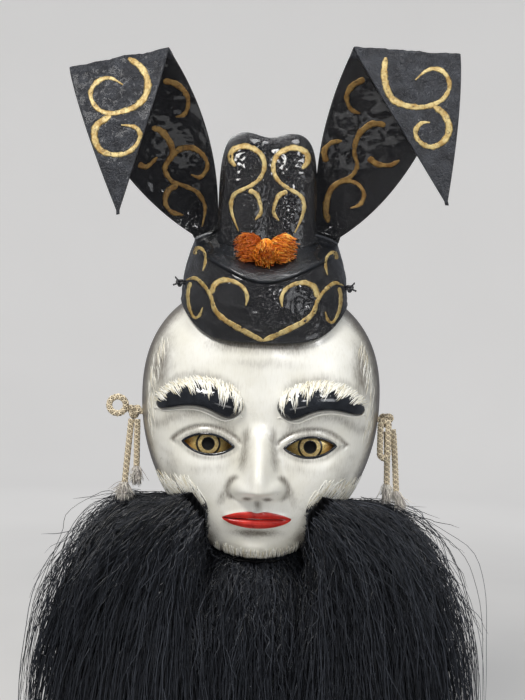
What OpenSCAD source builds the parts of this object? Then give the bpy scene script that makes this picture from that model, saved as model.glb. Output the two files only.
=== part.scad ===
// Hanging stage mask: a moulded paper face with lacquered cap, folded wings, beard, tassel and cords.
// Millimetres. +Z is up, the face looks along -Y, and the flat back rim lies in the plane y = 0.
// The origin is on the back plane, in the middle of the mask, level with the pupils.
// "left" is the side at -X, which is on the left when the mask is seen from the front.

/* [Face shell] */
// Width of the face at its widest
face_w = 218; // [206:1:224]
// Height of the crown above the pupils
face_top = 145; // [140:1:148]
// Depth of the chin below the pupils
face_chin = 112; // [108:1:116]
// Depth of the moulded dome, without the nose
dome_depth = 88; // [84:1:92]
// Thickness of the layered paper
wall = 4; // [3:0.5:5]
// Share of the width that the jaw loses at the chin
jaw_taper = 0.28; // [0.2:0.02:0.34]

/* [Face features] */
// Width of one eye opening
eye_w = 44; // [40:1:46]
// Height of one eye opening
eye_h = 17; // [14:1:20]
// Radius of the peephole in each pupil
pupil_r = 5; // [4:0.5:6]
// How far the nose stands out of the dome
nose_out = 32; // [26:1:36]
// Height of the moulded brows above the face
brow_relief = 7; // [5:1:9]

/* [Cap] */
// Thickness of the lacquered cap paper
cap_wall = 3; // [2.5:0.5:3.5]
// Half width of the cap at the brim
brim_half = 76; // [75:1:78]
// Height of the brim above the pupils, at the middle of the forehead
brim_z = 87; // [84:1:90]
// Height of the crest above the cap
crest_h = 95; // [88:1:102]
// Thickness of the folded wings
wing_t = 2.4; // [2:0.2:3]

/* [Hair] */
// Length of the beard below the chin
beard_drop = 222; // [180:2:240]
// Half width of the spread beard
beard_half = 190; // [170:2:196]

/* [Cords] */
// Diameter of the braided cord
cord_d = 6.4; // [5.5:0.1:6.8]
// Radius of the temple holes
temple_hole_r = 3.9; // [3.7:0.1:4.5]

/* [Hidden] */
$fn = 48;

z_mid = 40;                 // height at which the face is widest
outline_power = 2.3;        // roundness of the outline: 2 is an ellipse
dome_power = 3.2;           // how long the dome stays flat before it rounds over
dome_edge = 0.42;           // how steeply the dome meets its rim
eye_x = face_w / 5;         // five eye widths across the face
eye_tilt = 4;               // the outer corners of the eyes stand a little higher
fit_gap = 0.3;              // clearance between pieces that lie on each other

cap_front = 97;             // how far forward the top edge of the cap reaches
cap_front_z = 136;          // height of that edge
cap_rise = 60;              // rise of the cap's top from its front edge to the back plane
cap_half = 66;              // half width of the cap's top edge
cap_bulge = 3;              // swell of the band between brim and top edge

crest_half = 44;            // half width of the crest
crest_seam_y = -36;         // plane in which its two halves meet
crest_swell = 24;           // how far the front half swells forward
crest_back_swell = 9;       // and the back half backward

wing_base_y = -16;          // where the wings stand on the cap
wing_lean = 64;             // how far forward the fold is
wing_tip_y = -105;          // where the folded tip hangs

beard_axis = [-45, -140];   // y and z of the axis about which the beard swings
beard_r = 20;               // half thickness of the beard at that axis
beard_split = 42.5;         // where the beard's middle meets its sides
root_z = -119;              // foot of the fixed roots

temple_hole = [-18, 22];    // y and z of the temple holes
knot_x = 114.9;             // middle of each cord knot
knot_r = 7;

/* ---- small helpers ---- */
function clamp01(v) = min(1, max(0, v));
function ease(a, b, v) = let (t = clamp01((v - a) / (b - a))) t * t * (3 - 2 * t);
function bump(dx, dz, sx, sz) = exp(-pow(dx / sx, 2) - pow(dz / sz, 2));
function mix(a, b, t) = a * (1 - t) + b * t;
function bend(p, q, r, t) = p * pow(1 - t, 2) + q * 2 * t * (1 - t) + r * t * t;
function spread(i, n) = let (s = 2 * i / n - 1) (s + sin(90 * s)) / 2;
function power_norm(a, b, p) = pow(pow(abs(a), p) + pow(abs(b), p), 1 / p);
// A point of the square [-1,1] x [-1,1] laid on the unit disc, then on a squarer outline
function on_disc(u, v, p) =
    let (d = [u * sqrt(1 - v * v / 2), v * sqrt(1 - u * u / 2)], r = norm(d))
    r < 1e-6 ? [0, 0] : d / power_norm(d[0] / r, d[1] / r, p);

// Closed solid between two grids of points, which share their row and column counts
module slab(front, back) {
    n = len(front);
    m = len(front[0]);
    q = n * m;
    points = concat([for (row = front) each row], [for (row = back) each row]);
    function id(i, j, k) = k * q + i * m + j;
    rim = concat(
        [for (j = [0 : m - 2]) [0, j]],
        [for (i = [0 : n - 2]) [i, m - 1]],
        [for (j = [m - 1 : -1 : 1]) [n - 1, j]],
        [for (i = [n - 1 : -1 : 1]) [i, 0]]);
    faces = concat(
        [for (i = [0 : n - 2], j = [0 : m - 2]) each [
            [id(i, j, 0), id(i, j + 1, 0), id(i + 1, j + 1, 0)],
            [id(i, j, 0), id(i + 1, j + 1, 0), id(i + 1, j, 0)]]],
        [for (i = [0 : n - 2], j = [0 : m - 2]) each [
            [id(i, j, 1), id(i + 1, j + 1, 1), id(i, j + 1, 1)],
            [id(i, j, 1), id(i + 1, j, 1), id(i + 1, j + 1, 1)]]],
        [for (k = [0 : len(rim) - 1])
            let (a = rim[k], b = rim[(k + 1) % len(rim)]) each [
            [id(a[0], a[1], 0), id(a[0], a[1], 1), id(b[0], b[1], 1)],
            [id(a[0], a[1], 0), id(b[0], b[1], 1), id(b[0], b[1], 0)]]]);
    polyhedron(points, faces, convexity = 12);
}

// Round tube along a list of points, closed at both ends
module tube(path, r, sides = 8) {
    n = len(path);
    function along(i) = let (d = path[min(n - 1, i + 1)] - path[max(0, i - 1)]) d / norm(d);
    function side_of(d) = let (s = cross(d, abs(d[1]) > 0.9 ? [1, 0, 0] : [0, 1, 0])) s / norm(s);
    rings = [for (i = [0 : n - 1])
        let (d = along(i), a = side_of(d), b = cross(d, a))
        for (k = [0 : sides - 1]) path[i] + r * (a * cos(360 * k / sides) + b * sin(360 * k / sides))];
    faces = concat(
        [[for (k = [0 : sides - 1]) k]],
        [for (i = [0 : n - 2], k = [0 : sides - 1])
            let (a = i * sides + k, b = i * sides + (k + 1) % sides) each
            [[a, a + sides, b], [b, a + sides, b + sides]]],
        [[for (k = [sides - 1 : -1 : 0]) (n - 1) * sides + k]]);
    polyhedron(rings, faces, convexity = 8);
}

// The same path with points added on a smooth curve through its own
function smooth(path, steps) = let (n = len(path)) concat(
    [for (i = [0 : n - 2], k = [0 : steps - 1])
        let (a = path[max(0, i - 1)], b = path[i], c = path[i + 1], d = path[min(n - 1, i + 2)], t = k / steps)
        b + (c - a) * t / 2 + (a * 2 - b * 5 + c * 4 - d) * t * t / 2
            + (b * 3 - a - c * 3 + d) * t * t * t / 2],
    [path[n - 1]]);

function flip(path, side) = [for (p = path) [p[0] * side, p[1], p[2]]];

module on_side(side) {
    if (side < 0) mirror([1, 0, 0]) children();
    else children();
}

/* ---- face ---- */
function half_w(z, inset = 0) =
    (face_w / 2 - inset) * (1 - jaw_taper * pow(clamp01((z_mid - z) / (z_mid + face_chin)), 2));
function half_h(z, inset = 0) = (z > z_mid ? face_top - z_mid : z_mid + face_chin) - inset;
// 0 in the middle of the face, 1 on its rim
function rim_share(x, z, inset = 0) =
    power_norm(x / half_w(z, inset), (z - z_mid) / half_h(z, inset), outline_power);

function nose_height(z) =
    (6 * ease(22, 4, z) + (nose_out - 6) * ease(14, -30, z)) * ease(-48, -36, z);
function nose_half(z) = 8.5 + 5 * ease(14, -30, z);
function features(x, z) = let (a = abs(x))
    3 * bump(a, z - 70, 60, 30)
    + 5 * bump(a - 46, z - 36, 36, 13)
    - 9 * bump(a - 44, z, 24, 13)
    + 5 * bump(a - eye_x, z, 21, 12)
    + nose_height(z) * exp(-pow(a / nose_half(z), 2.2))
    + 11 * bump(a - 14.5, z + 36, 7.5, 8)
    + 5 * bump(a - 60, z + 25, 26, 22)
    + 7 * bump(a, z + 62, 32, 20)
    + 16 * bump(a, z + 97, 22, 13)
    - 3 * bump(a, z + 81, 18, 6);
function face_depth(x, z, inset = 0) = let (t = min(1, rim_share(x, z, inset)))
    (dome_depth - inset) * pow(1 - pow(t, dome_power), dome_edge)
    + features(x, z) * (1 - pow(t, 8));

// A grid over the whole face. Both surfaces of the wall use the features of the outer one.
face_steps = 40;
function face_grid(inset) = [for (i = [0 : face_steps]) [for (j = [0 : face_steps])
    let (d = on_disc(spread(j, face_steps), spread(i, face_steps), outline_power),
         z = z_mid + d[1] * (d[1] > 0 ? face_top - z_mid : z_mid + face_chin),
         zi = z_mid + d[1] * ((d[1] > 0 ? face_top - z_mid : z_mid + face_chin) - inset),
         t = min(1, power_norm(d[0], d[1], outline_power)))
    [d[0] * half_w(z, inset),
     -(dome_depth - inset) * pow(1 - pow(t, dome_power), dome_edge)
        - features(d[0] * half_w(z), z) * (1 - pow(t, 8)),
     zi]]];

module eye_outline(grow = 0) {
    r = (pow(eye_w / 2, 2) + pow(eye_h / 2, 2)) / eye_h;
    intersection() {
        translate([0, r - eye_h / 2]) circle(r + grow, $fn = 96);
        translate([0, eye_h / 2 - r]) circle(r + grow, $fn = 96);
    }
}

module face_shell() {
    color("ivory") difference() {
        slab(face_grid(0), face_grid(wall));
        for (side = [-1, 1]) {
            on_side(side) translate([eye_x, -40, 0]) rotate([0, -eye_tilt, 0]) rotate([90, 0, 0])
                linear_extrude(80) eye_outline();
            on_side(side) translate([90, temple_hole[0], temple_hole[1]]) rotate([0, 90, 0])
                cylinder(r = temple_hole_r, h = 30);
        }
    }
}

// Strip of relief that lies on the face: from a to b along its length, with its own half width and height
brow_line = [[17, 27], [50, 56], [90, 30]];
function brow_half(s) = 0.8 + 12.4 * sqrt(1 - pow(2 * s - 1, 6)) * (1 - 0.5 * pow(s, 1.5));
function brow_point(s, t) =
    let (p = bend(brow_line[0], brow_line[1], brow_line[2], s),
         e = bend(brow_line[0], brow_line[1], brow_line[2], s + 0.01),
         d = (e - p) / norm(e - p))
    p + [-d[1], d[0]] * t * brow_half(s);
module brow(side) {
    steps = 22;
    rows = 10;
    function grid(lift) = [for (i = [0 : rows]) [for (j = [0 : steps])
        let (s = j / steps, t = 2 * i / rows - 1, p = brow_point(s, t),
             ends = sqrt(max(0, 1 - pow(2 * s - 1, 6))))
        let (crown = 0.8 + brow_relief * ends * sqrt(max(0, 1 - t * t)))
            [p[0], -face_depth(p[0], p[1]) - fit_gap - lift * crown, p[1]]]];
    color("#15171c") on_side(side) slab(grid(1), grid(0));
}

eye_ball_r = 34;
eye_plate_t = 1;
eye_plate_r = 24;
function eye_apex() = face_depth(eye_x, 0) - 1.5;
module eye_plate(side) {
    apex = eye_apex();
    color("goldenrod") on_side(side) translate([eye_x, eye_ball_r - apex, 0]) rotate([90, 0, 0])
        difference() {
            rotate_extrude($fn = 96) difference() {
                intersection() {
                    difference() {
                        circle(eye_ball_r, $fn = 128);
                        circle(eye_ball_r - eye_plate_t, $fn = 128);
                    }
                    translate([0, eye_ball_r / 2]) square([eye_plate_r, eye_ball_r]);
                }
                square([pupil_r, eye_ball_r + 1]);
            }
        }
}

// Disc of black gauze glued behind the pupil, through which the wearer looks
module sight_gauze(side) {
    color("#08080a") on_side(side) translate([eye_x, 2.75 - eye_apex(), 0]) rotate([90, 0, 0])
        cylinder(r = pupil_r + 3, h = 0.6);
}

// Pad or strip glued inside the wall, over a rectangle of the face
module inside_patch(x0, x1, z0, z1, t, gap = 1.2, steps = 8, rounding = 6) {
    function grid(lift) = [for (i = [0 : steps]) [for (j = [0 : steps])
        let (d = on_disc(2 * j / steps - 1, 2 * i / steps - 1, rounding),
             x = mix(x0, x1, (d[0] + 1) / 2), z = mix(z0, z1, (d[1] + 1) / 2))
        [x, -face_depth(x, z, wall) + gap + lift, z]]];
    slab(grid(0), grid(t));
}

module forehead_pad() { color("#c8b48c") inside_patch(-38, 38, 62, 100, 10); }
module cheek_pad(side) { color("#c8b48c") on_side(side) inside_patch(48, 69, -51, -27, 7); }
module hair_band(side) { color("#5a4632") on_side(side) inside_patch(38, 58, -69, -55, 1.6, 2.4); }
module hair_band_chin() { color("#5a4632") inside_patch(-30, 30, -100, -88, 1.6, 2.4); }

/* ---- hair ---- */
// The fixed roots fan out from a line beside the mouth to the level of the chin
function root_start(s) =
    s < 0.4 ? mix([44, -58], [56, -42], s / 0.4) : mix([56, -42], [99, -58], (s - 0.4) / 0.6);
function root_end(s) = [mix(beard_split + 1.5, spread_out(beard_half, 0) - 8, s), root_z];
function root_turn(s) = let (a = root_start(s), b = root_end(s))
    [mix(a[0], b[0], 0.5 + 0.35 * s), mix(a[1], b[1], 0.55 - 0.35 * s)];
// The inner side keeps off the dome, the more so where the dome falls away steeply
function root_back(x, z, s, r) = max(8, face_depth(x, z, -(1 + 4 * s + 6 * r)) + 1);
function root_front(x, z, s, r) = let (at = root_start(s), rise = 8 * sin(180 * r) * (1 - s * s))
    max(root_back(x, z, s, r) + 3, mix(face_depth(at[0], at[1]) + 3, 72 - 18 * s * s, sqrt(r)) + rise);
module moustache(side) {
    steps = 18;
    rows = 8;
    function at(i, j) = let (s = j / steps, r = 1 - i / rows,
        p = bend(root_start(s), root_turn(s), root_end(s), r)) [p[0], p[1], s, r];
    function grid(front) = [for (i = [0 : rows]) [for (j = [0 : steps]) let (p = at(i, j))
        [p[0], -(front ? root_front(p[0], p[1], p[2], p[3]) : root_back(p[0], p[1], p[2], p[3])), p[1]]]];
    color("#111216") on_side(side) slab(grid(true), grid(false));
}

module chin_tuft() {
    steps = 8;
    rows = 4;
    function back(x, z, r) = max(18, face_depth(x, z, -(1 + 6 * r)) + 1);
    function front(x, z, r) = mix(face_depth(0, -101) + 5, 72, r) - 0.006 * x * x;
    function grid(is_front) = [for (i = [0 : rows]) [for (j = [0 : steps])
        let (x = mix(-beard_split + 1, beard_split - 1, j / steps), r = 1 - i / rows, z = mix(-101, root_z, r))
        [x, -(is_front ? max(front(x, z, r), back(x, z, r) + 3) : back(x, z, r)), z]]];
    color("#111216") slab(grid(true), grid(false));
}

// The sides of the beard spread outwards on their way down: u is 0 at the top and 1 from half way down
function spread_out(x, u) = abs(x) < beard_split + 1 ? x : sign(x) * mix(beard_split, abs(x), 0.86 + 0.14 * u);
// One hanging part of the beard: an upright section with a round head about the swing axis, lofted across
module beard(x0, x1, thin0, thin1) {
    steps = 8;
    head = 6;
    function foot(x) = -face_chin - beard_drop + 58 * pow(abs(x) / beard_half, 3);
    y = beard_axis[0];
    z = beard_axis[1];
    function section(x, thin) = let (r = beard_r * thin, f = foot(x)) concat(
        [for (k = [0 : head]) [spread_out(x, 0), y - r * cos(180 * k / head), z + r * sin(180 * k / head)]],
        [[x, y + r, mix(z, f, 0.55)], [x, y + r * 0.55, mix(z, f, 0.94)], [x, y, f],
         [x, y - r * 0.55, mix(z, f, 0.94)], [x, y - r, mix(z, f, 0.55)]]);
    sections = [for (i = [0 : steps]) let (t = i / steps)
        section(mix(x0, x1, t), mix(thin0, thin1, pow(t, 3)))];
    m = len(sections[0]);
    faces = concat(
        [[for (k = [m - 1 : -1 : 0]) k]],
        [for (i = [0 : steps - 1], k = [0 : m - 1])
            let (a = i * m + k, b = i * m + (k + 1) % m) each [[a, b, b + m], [a, b + m, a + m]]],
        [[for (k = [0 : m - 1]) steps * m + k]]);
    color("#111216") on_side(x1 > x0 ? 1 : -1)
        polyhedron([for (s = sections) each flip(s, x1 > x0 ? 1 : -1)], faces, convexity = 4);
}

/* ---- cap ---- */
function cap_height(x, y) =
    cap_front_z + cap_rise * pow(clamp01((y + cap_front + 1) / (cap_front + 1)), 0.6)
        - 10 * pow(abs(x) / cap_half, 4);
function brim_height(a) = brim_z + 40 * pow(sin(a), 4);
// The top edge of the band in plan, a = -90 at the left end and 90 at the right
function cap_edge(a, inset) = let (k = power_norm(sin(a), cos(a), outline_power),
    x = (cap_half - inset) * sin(a) / k, y = -(cap_front - inset) * cos(a) / k)
    [x, y, cap_height(x, y) - cap_wall - 0.5];
function brim(a, inset) =
    let (x = (brim_half - inset) * sin(a), inner = (brim_half - cap_wall) * sin(a), z = brim_height(a))
    [x, -face_depth(inner, z, -0.6) - 1 - (cap_wall - inset) * (0.3 + 0.7 * cos(a)), z];

module cap_band() {
    rows = 8;
    steps = 36;
    function grid(inset) = [for (i = [0 : rows]) [for (j = [0 : steps])
        let (a = 180 * j / steps - 90, w = i / rows, p = mix(brim(a, inset), cap_edge(a, inset), w),
             out = cap_bulge * sin(180 * w))
        p + [out * sin(a), -out * cos(a), 0]]];
    color("#17191f") slab(grid(0), grid(cap_wall));
}

module cap_top() {
    steps = 20;
    function grid(drop) = [for (i = [0 : steps]) [for (j = [0 : steps])
        let (d = on_disc(2 * j / steps - 1, i / steps - 1, outline_power),
             x = d[0] * cap_half, y = d[1] * cap_front)
        [x, y, cap_height(x, y) - drop]]];
    color("#17191f") slab(grid(cap_wall), grid(0));
}

// Height of the crest's outline: two lobes with a dip between them
function crest_top(x) = crest_h - 5 * bump(x, 0, 14, 1);
module crest_half_shell(swell, dir) {
    steps = 18;
    gap = 0.15;
    function grid(inset) = [for (i = [0 : steps]) [for (j = [0 : steps])
        let (d = on_disc(2 * j / steps - 1, i / steps, 5),
             t = min(1, power_norm(d[0], d[1], 5)),
             x = d[0] * (crest_half - inset),
             groove = 5 * bump(x, 0, 8, 1) * (1 - pow(t, 4)),
             out = gap + (swell - inset * 0.9) * pow(1 - pow(t, 3), 0.5) - (dir < 0 ? groove : 0),
             y = crest_seam_y + dir * out,
             base = cap_height(x, y) + fit_gap)
        [x, y, base + d[1] * (crest_top(x) - inset - (base - cap_height(0, crest_seam_y)))]]];
    color("#17191f")
        if (dir < 0) slab(grid(0), grid(cap_wall));
        else slab(grid(cap_wall), grid(0));
}

/* ---- wings ---- */
// Each wing: inner and outer edge of the standing leaf, each as three points of a curve in x and z, and
// the tip of its hanging flap
wing_left_shape = [[[-45, 186], [-41, 275], [-89, 336]], [[-66, 184], [-143, 228], [-173, 316]], [-124, 190]];
wing_right_shape = [[[45, 190], [36, 275], [69, 342]], [[66, 186], [136, 232], [160, 339]], [149, 207]];
function wing_leaf(shape, u, v) =
    let (a = bend(shape[0][0], shape[0][1], shape[0][2], v), b = bend(shape[1][0], shape[1][1], shape[1][2], v),
         p = mix(a, b, u), y = wing_base_y - wing_lean * pow(v, 1.6) + 7 * sin(180 * u) * sin(180 * v))
    [p[0], y, v == 0 ? cap_height(p[0], y) + wing_t / 2 + fit_gap : p[1]];
function wing_flap(shape, u, v) =
    let (a = shape[0][2], b = shape[1][2], tip = shape[2], w = 1 - pow(v, 1.15),
         middle = mix((a + b) / 2, tip, v),
         p = middle + (mix(a, b, u) - (a + b) / 2) * max(w, 0.03))
    [p[0], mix(wing_base_y - wing_lean, wing_tip_y, v) - 6 * sin(180 * v), p[1]];
module wing(shape, side) {
    leaf = 12;
    flap = 10;
    across = 8;
    us = [for (j = [0 : across]) side > 0 ? j / across : 1 - j / across];
    function row(v) = [for (u = us) v <= 1 ? wing_leaf(shape, u, v) : wing_flap(shape, u, v - 1)];
    // the side of the sheet that looks back on the leaf looks up on the fold and forward on the flap
    function outward(v) = v < 0.95 ? [0, 1, 0] : v < 1.02 ? [0, 0, 1.2] : [0, -1, 0];
    vs = concat([for (i = [0 : leaf]) i / leaf], [for (i = [1 : flap]) 1 + i / flap]);
    function grid(k) = [for (v = vs) [for (p = row(v)) p + outward(v) * k * wing_t / 2]];
    color("#17191f") slab(grid(-1), grid(1));
}
module wing_wire(shape) {
    color("#3a3a3e") tube([for (i = [0 : 10])
        wing_leaf(shape, 0.5, 0.03 + 0.085 * i) + [0, wing_t / 2 + 1.5, 0]], 1.1);
}

/* ---- fastenings and trim ---- */
module cap_tie(side) {
    a = 74;
    p = mix(brim(a, 0), cap_edge(a, 0), 0.35) + [cap_bulge * 0.85 + 4.2, -1, 0];
    color("#0d0e11") on_side(side) translate(p) {
        sphere(r = 3.6, $fn = 32);
        rotate([25, 60, 0]) cylinder(r1 = 1.4, r2 = 0.9, h = 9);
        rotate([-35, 75, 0]) cylinder(r1 = 1.4, r2 = 0.9, h = 8);
    }
}

tassel_at = [0, -72, 172];  // the knot lies in front of the crest's foot
module tassel_knot() { color("#e8861c") translate(tassel_at) sphere(r = 5.6, $fn = 40); }
// The tassels lie forward on the sloping top of the cap
module tassel(yaw, tilt, length, r) {
    color("#e06a10") translate(tassel_at) rotate([0, 0, yaw]) rotate([-tilt, 0, 0])
        translate([0, 0, -length - 6]) cylinder(r1 = r, r2 = 1.8, h = length);
}

// The hanging cord runs from hole to hole behind the face and passes over the wall hook in the middle
hanger_path = [[-107.5, -18, 22], [-100, -18, 22.6], [-80, -17, 32], [-40, -13, 53],
    [-9, -9, 67.5], [0, -9, 69.5]];
module hanger_cord() {
    half = smooth(hanger_path, 3);
    n = len(half);
    other = [for (i = [n - 2 : -1 : 0]) [-half[i][0], half[i][1], half[i][2]]];
    color("#cdbb95") tube(concat(half, other), cord_d / 2);
}

module cord_knot_left() {
    color("#cdbb95") {
        translate([-knot_x, temple_hole[0], temple_hole[1]]) sphere(r = knot_r, $fn = 40);
        translate([-130, temple_hole[0] - 2, 27]) rotate([90, 0, 0])
            rotate_extrude($fn = 64) translate([7.6, 0]) circle(cord_d / 2, $fn = 32);
    }
}

// On the right the loop hangs down as a narrow bight
module cord_knot_right() {
    bight_r = 3.6;
    bight_l = 26;
    color("#cdbb95") {
        translate([knot_x, temple_hole[0], temple_hole[1]]) sphere(r = knot_r, $fn = 40);
        translate([112, temple_hole[0] - 14, temple_hole[1] - 4]) rotate([-4, 0, 0]) {
            for (x = [-bight_r, bight_r])
                translate([x, 0, -bight_l]) cylinder(r = cord_d / 2, h = bight_l, $fn = 32);
            for (turn = [0, 180]) translate([0, 0, turn == 0 ? 0 : -bight_l]) rotate([90, turn, 0])
                rotate_extrude(angle = 180, $fn = 64) translate([bight_r, 0]) circle(cord_d / 2, $fn = 32);
        }
        translate([112.5, temple_hole[0] - 12, temple_hole[1] - 1]) rotate([-90, 0, 0]) cylinder(r = 3, h = 8);
    }
}

// Free strands below the knots: from the knot down to the whipped end
left_outer = [[-117, -20, 14.6], [-117.5, -21, 6], [-118.3, -22, -6], [-119.2, -23, -20], [-120, -24, -34],
    [-120.4, -24.5, -42]];
left_inner = [[-111.4, -22, 14.6], [-111, -23, 6], [-110.8, -24, -6], [-110.4, -25, -18], [-110.2, -25.5, -27]];
right_outer = [[121, -20, 13.2], [122, -21, 5], [123, -22, -7], [124, -23, -21], [124.8, -24, -34],
    [125.4, -24.5, -42]];
right_inner = [[115.2, -22, 11.2], [115.6, -23, 3], [116, -24, -9], [116.3, -25, -22], [116.5, -25.5, -36]];
module strand(path) { color("#cdbb95") tube(smooth(path, 3), cord_d / 2); }
module strand_end(path, lean) {
    p = path[len(path) - 1];
    color("#d8c9a6") translate([p[0], p[1], p[2] - 0.3 - sin(abs(lean)) * cord_d / 2])
        rotate([0, 180 - lean, 0]) cylinder(r1 = cord_d / 2, r2 = 6.4, h = 15);
}

face_shell();
brow(-1);  // brow_left
brow(1);  // brow_right
eye_plate(-1);  // eye_plate_left
eye_plate(1);  // eye_plate_right
sight_gauze(-1);  // sight_gauze_left
sight_gauze(1);  // sight_gauze_right
forehead_pad();
cheek_pad(-1);  // cheek_pad_left
cheek_pad(1);  // cheek_pad_right
hair_band(-1);  // hair_band_left
hair_band(1);  // hair_band_right
hair_band_chin();
moustache(-1);  // moustache_left
moustache(1);  // moustache_right
chin_tuft();
beard(-beard_split - 0.5, -beard_half, 1, 0.4);  // beard_left
beard(beard_split + 0.5, beard_half, 1, 0.4);  // beard_right
beard(-beard_split, beard_split, 1, 1);  // beard_middle
cap_band();
cap_top();
crest_half_shell(crest_swell, -1);  // crest_front
crest_half_shell(crest_back_swell, 1);  // crest_back
wing(wing_left_shape, -1);  // wing_left
wing(wing_right_shape, 1);  // wing_right
wing_wire(wing_left_shape);  // wing_wire_left
wing_wire(wing_right_shape);  // wing_wire_right
cap_tie(-1);  // cap_tie_left
cap_tie(1);  // cap_tie_right
tassel_knot();
tassel(-58, 77, 20, 9.5);  // tassel_left
tassel(0, 60, 20, 8);  // tassel_middle
tassel(58, 77, 20, 9.5);  // tassel_right
hanger_cord();
cord_knot_left();
cord_knot_right();
strand(left_outer);  // cord_left_outer
strand(left_inner);  // cord_left_inner
strand(right_outer);  // cord_right_outer
strand(right_inner);  // cord_right_inner
strand_end(left_outer, -4);  // cord_end_left_outer
strand_end(left_inner, 0);  // cord_end_left_inner
strand_end(right_outer, 18);  // cord_end_right_outer
strand_end(right_inner, 0);  // cord_end_right_inner
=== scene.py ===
"""Hanging stage mask: painted paper face, lacquered cap with folded wings, hair beard, tassels and cords.

Lengths are in millimetres and become metres where a mesh is made. x is to the viewer's right, the face
looks along -y, z is up, y = 0 is the flat back rim and z = 0 is the level of the pupils.
"""
import math

import bpy
import numpy as np
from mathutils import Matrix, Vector, noise
from mathutils.bvhtree import BVHTree


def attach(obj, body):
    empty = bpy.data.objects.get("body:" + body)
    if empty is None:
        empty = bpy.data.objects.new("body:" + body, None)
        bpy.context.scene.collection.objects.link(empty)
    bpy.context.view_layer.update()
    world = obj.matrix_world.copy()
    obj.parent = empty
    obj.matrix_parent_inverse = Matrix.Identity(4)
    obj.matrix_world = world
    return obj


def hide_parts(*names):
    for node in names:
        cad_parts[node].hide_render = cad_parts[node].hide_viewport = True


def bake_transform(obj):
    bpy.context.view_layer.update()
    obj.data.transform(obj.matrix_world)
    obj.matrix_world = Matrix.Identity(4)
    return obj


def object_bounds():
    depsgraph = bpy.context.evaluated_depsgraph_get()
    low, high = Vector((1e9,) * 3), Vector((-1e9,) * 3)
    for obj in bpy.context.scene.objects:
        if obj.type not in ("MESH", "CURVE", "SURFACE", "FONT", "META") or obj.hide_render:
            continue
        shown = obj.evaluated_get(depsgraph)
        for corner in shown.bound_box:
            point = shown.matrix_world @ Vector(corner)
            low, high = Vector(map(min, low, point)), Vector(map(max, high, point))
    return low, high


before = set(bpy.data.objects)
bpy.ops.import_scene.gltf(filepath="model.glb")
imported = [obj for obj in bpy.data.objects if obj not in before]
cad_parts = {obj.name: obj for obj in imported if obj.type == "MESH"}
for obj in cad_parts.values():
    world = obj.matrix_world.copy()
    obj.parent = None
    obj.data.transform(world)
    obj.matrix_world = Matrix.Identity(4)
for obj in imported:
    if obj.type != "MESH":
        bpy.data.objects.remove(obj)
cad_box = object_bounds()

MM = 0.001
rng = np.random.default_rng(20)
ROOT = "mask"

# ---- dimensions, as in the CAD
FACE_W, FACE_TOP, FACE_CHIN, DOME, WALL = 218, 145, 112, 88, 4
JAW_TAPER, Z_MID, OUTLINE_POWER, DOME_POWER, DOME_EDGE = 0.28, 40, 2.3, 3.2, 0.42
EYE_X, EYE_W, EYE_H, EYE_TILT = FACE_W / 5, 44, 17, math.radians(4)
EYE_R = ((EYE_W / 2) ** 2 + (EYE_H / 2) ** 2) / EYE_H   # of the two arcs round an eye opening
NOSE_OUT, BROW_RELIEF, BROW_LINE = 32, 7, ((17, 27), (50, 56), (90, 30))
CAP_WALL, BRIM_HALF, BRIM_Z = 3, 76, 87
CAP_FRONT, CAP_FRONT_Z, CAP_RISE, CAP_HALF, CAP_BULGE = 97, 136, 60, 66, 3
CREST_HALF, CREST_SEAM_Y, CREST_SWELL, CREST_BACK_SWELL, CREST_H = 44, -36, 24, 9, 95
WING_BASE_Y, WING_LEAN, WING_TIP_Y, WING_T = -16, 64, -105, 2.4
WING_FOLD_Y = WING_BASE_Y - WING_LEAN
WINGS = {
    "left": (((-45, 186), (-41, 275), (-89, 336)), ((-66, 184), (-143, 228), (-173, 316)), (-124, 190)),
    "right": (((45, 190), (36, 275), (69, 342)), ((66, 186), (136, 232), (160, 339)), (149, 207)),
}
BEARD_HALF, BEARD_FOOT, BEARD_Y, BEARD_AXIS_Z = 190, -FACE_CHIN - 222, -45, -140
CORD_R, BRAID_PITCH, KNOT_X, HOLE_R, HOLE_Y, HOLE_Z = 3.2, 9.0, 114.9, 3.9, -18, 22
TASSEL_AT = np.array([0, -72, 172.0])
EYE_POINT = np.array([0, -1000, 81.5])   # where the viewer's eye is
SIDES = ((-1, "left"), (1, "right"))


# ---- small helpers
def ease(a, b, v):
    t = clamp((v - a) / (b - a))
    return t * t * (3 - 2 * t)


def hill(d, width):
    return np.exp(-(d / width) ** 2)


def bump(dx, dz, sx, sz):
    return np.exp(-(dx / sx) ** 2 - (dz / sz) ** 2)


def clamp(v):
    return np.clip(v, 0, 1)


def mix(a, b, t):
    return a * (1 - t) + b * t


def bend(p, q, r, t):
    """Point of the curve with end points p and r that is pulled towards q."""
    p, q, r, t = (np.asarray(v, float) for v in (p, q, r, t))
    t = t[..., None]
    return p * (1 - t) ** 2 + q * 2 * t * (1 - t) + r * t * t


def turned(a, b, angle):
    return a * math.cos(angle) - b * math.sin(angle), a * math.sin(angle) + b * math.cos(angle)


def power_norm(a, b, p):
    return (np.abs(a) ** p + np.abs(b) ** p) ** (1 / p)


def on_disc(u, v, p):
    """A point of the square [-1, 1] x [-1, 1] laid on the unit disc, then on a squarer outline."""
    x, z = u * np.sqrt(1 - v * v / 2), v * np.sqrt(1 - u * u / 2)
    r = np.maximum(np.hypot(x, z), 1e-9)
    k = np.maximum(power_norm(x / r, z / r, p), 0.5)
    return x / k, z / k


def spread(n):
    """n + 1 values from -1 to 1 that lie closer together near the ends."""
    s = np.linspace(-1, 1, n + 1)
    return (s + np.sin(s * math.pi / 2)) / 2


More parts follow.
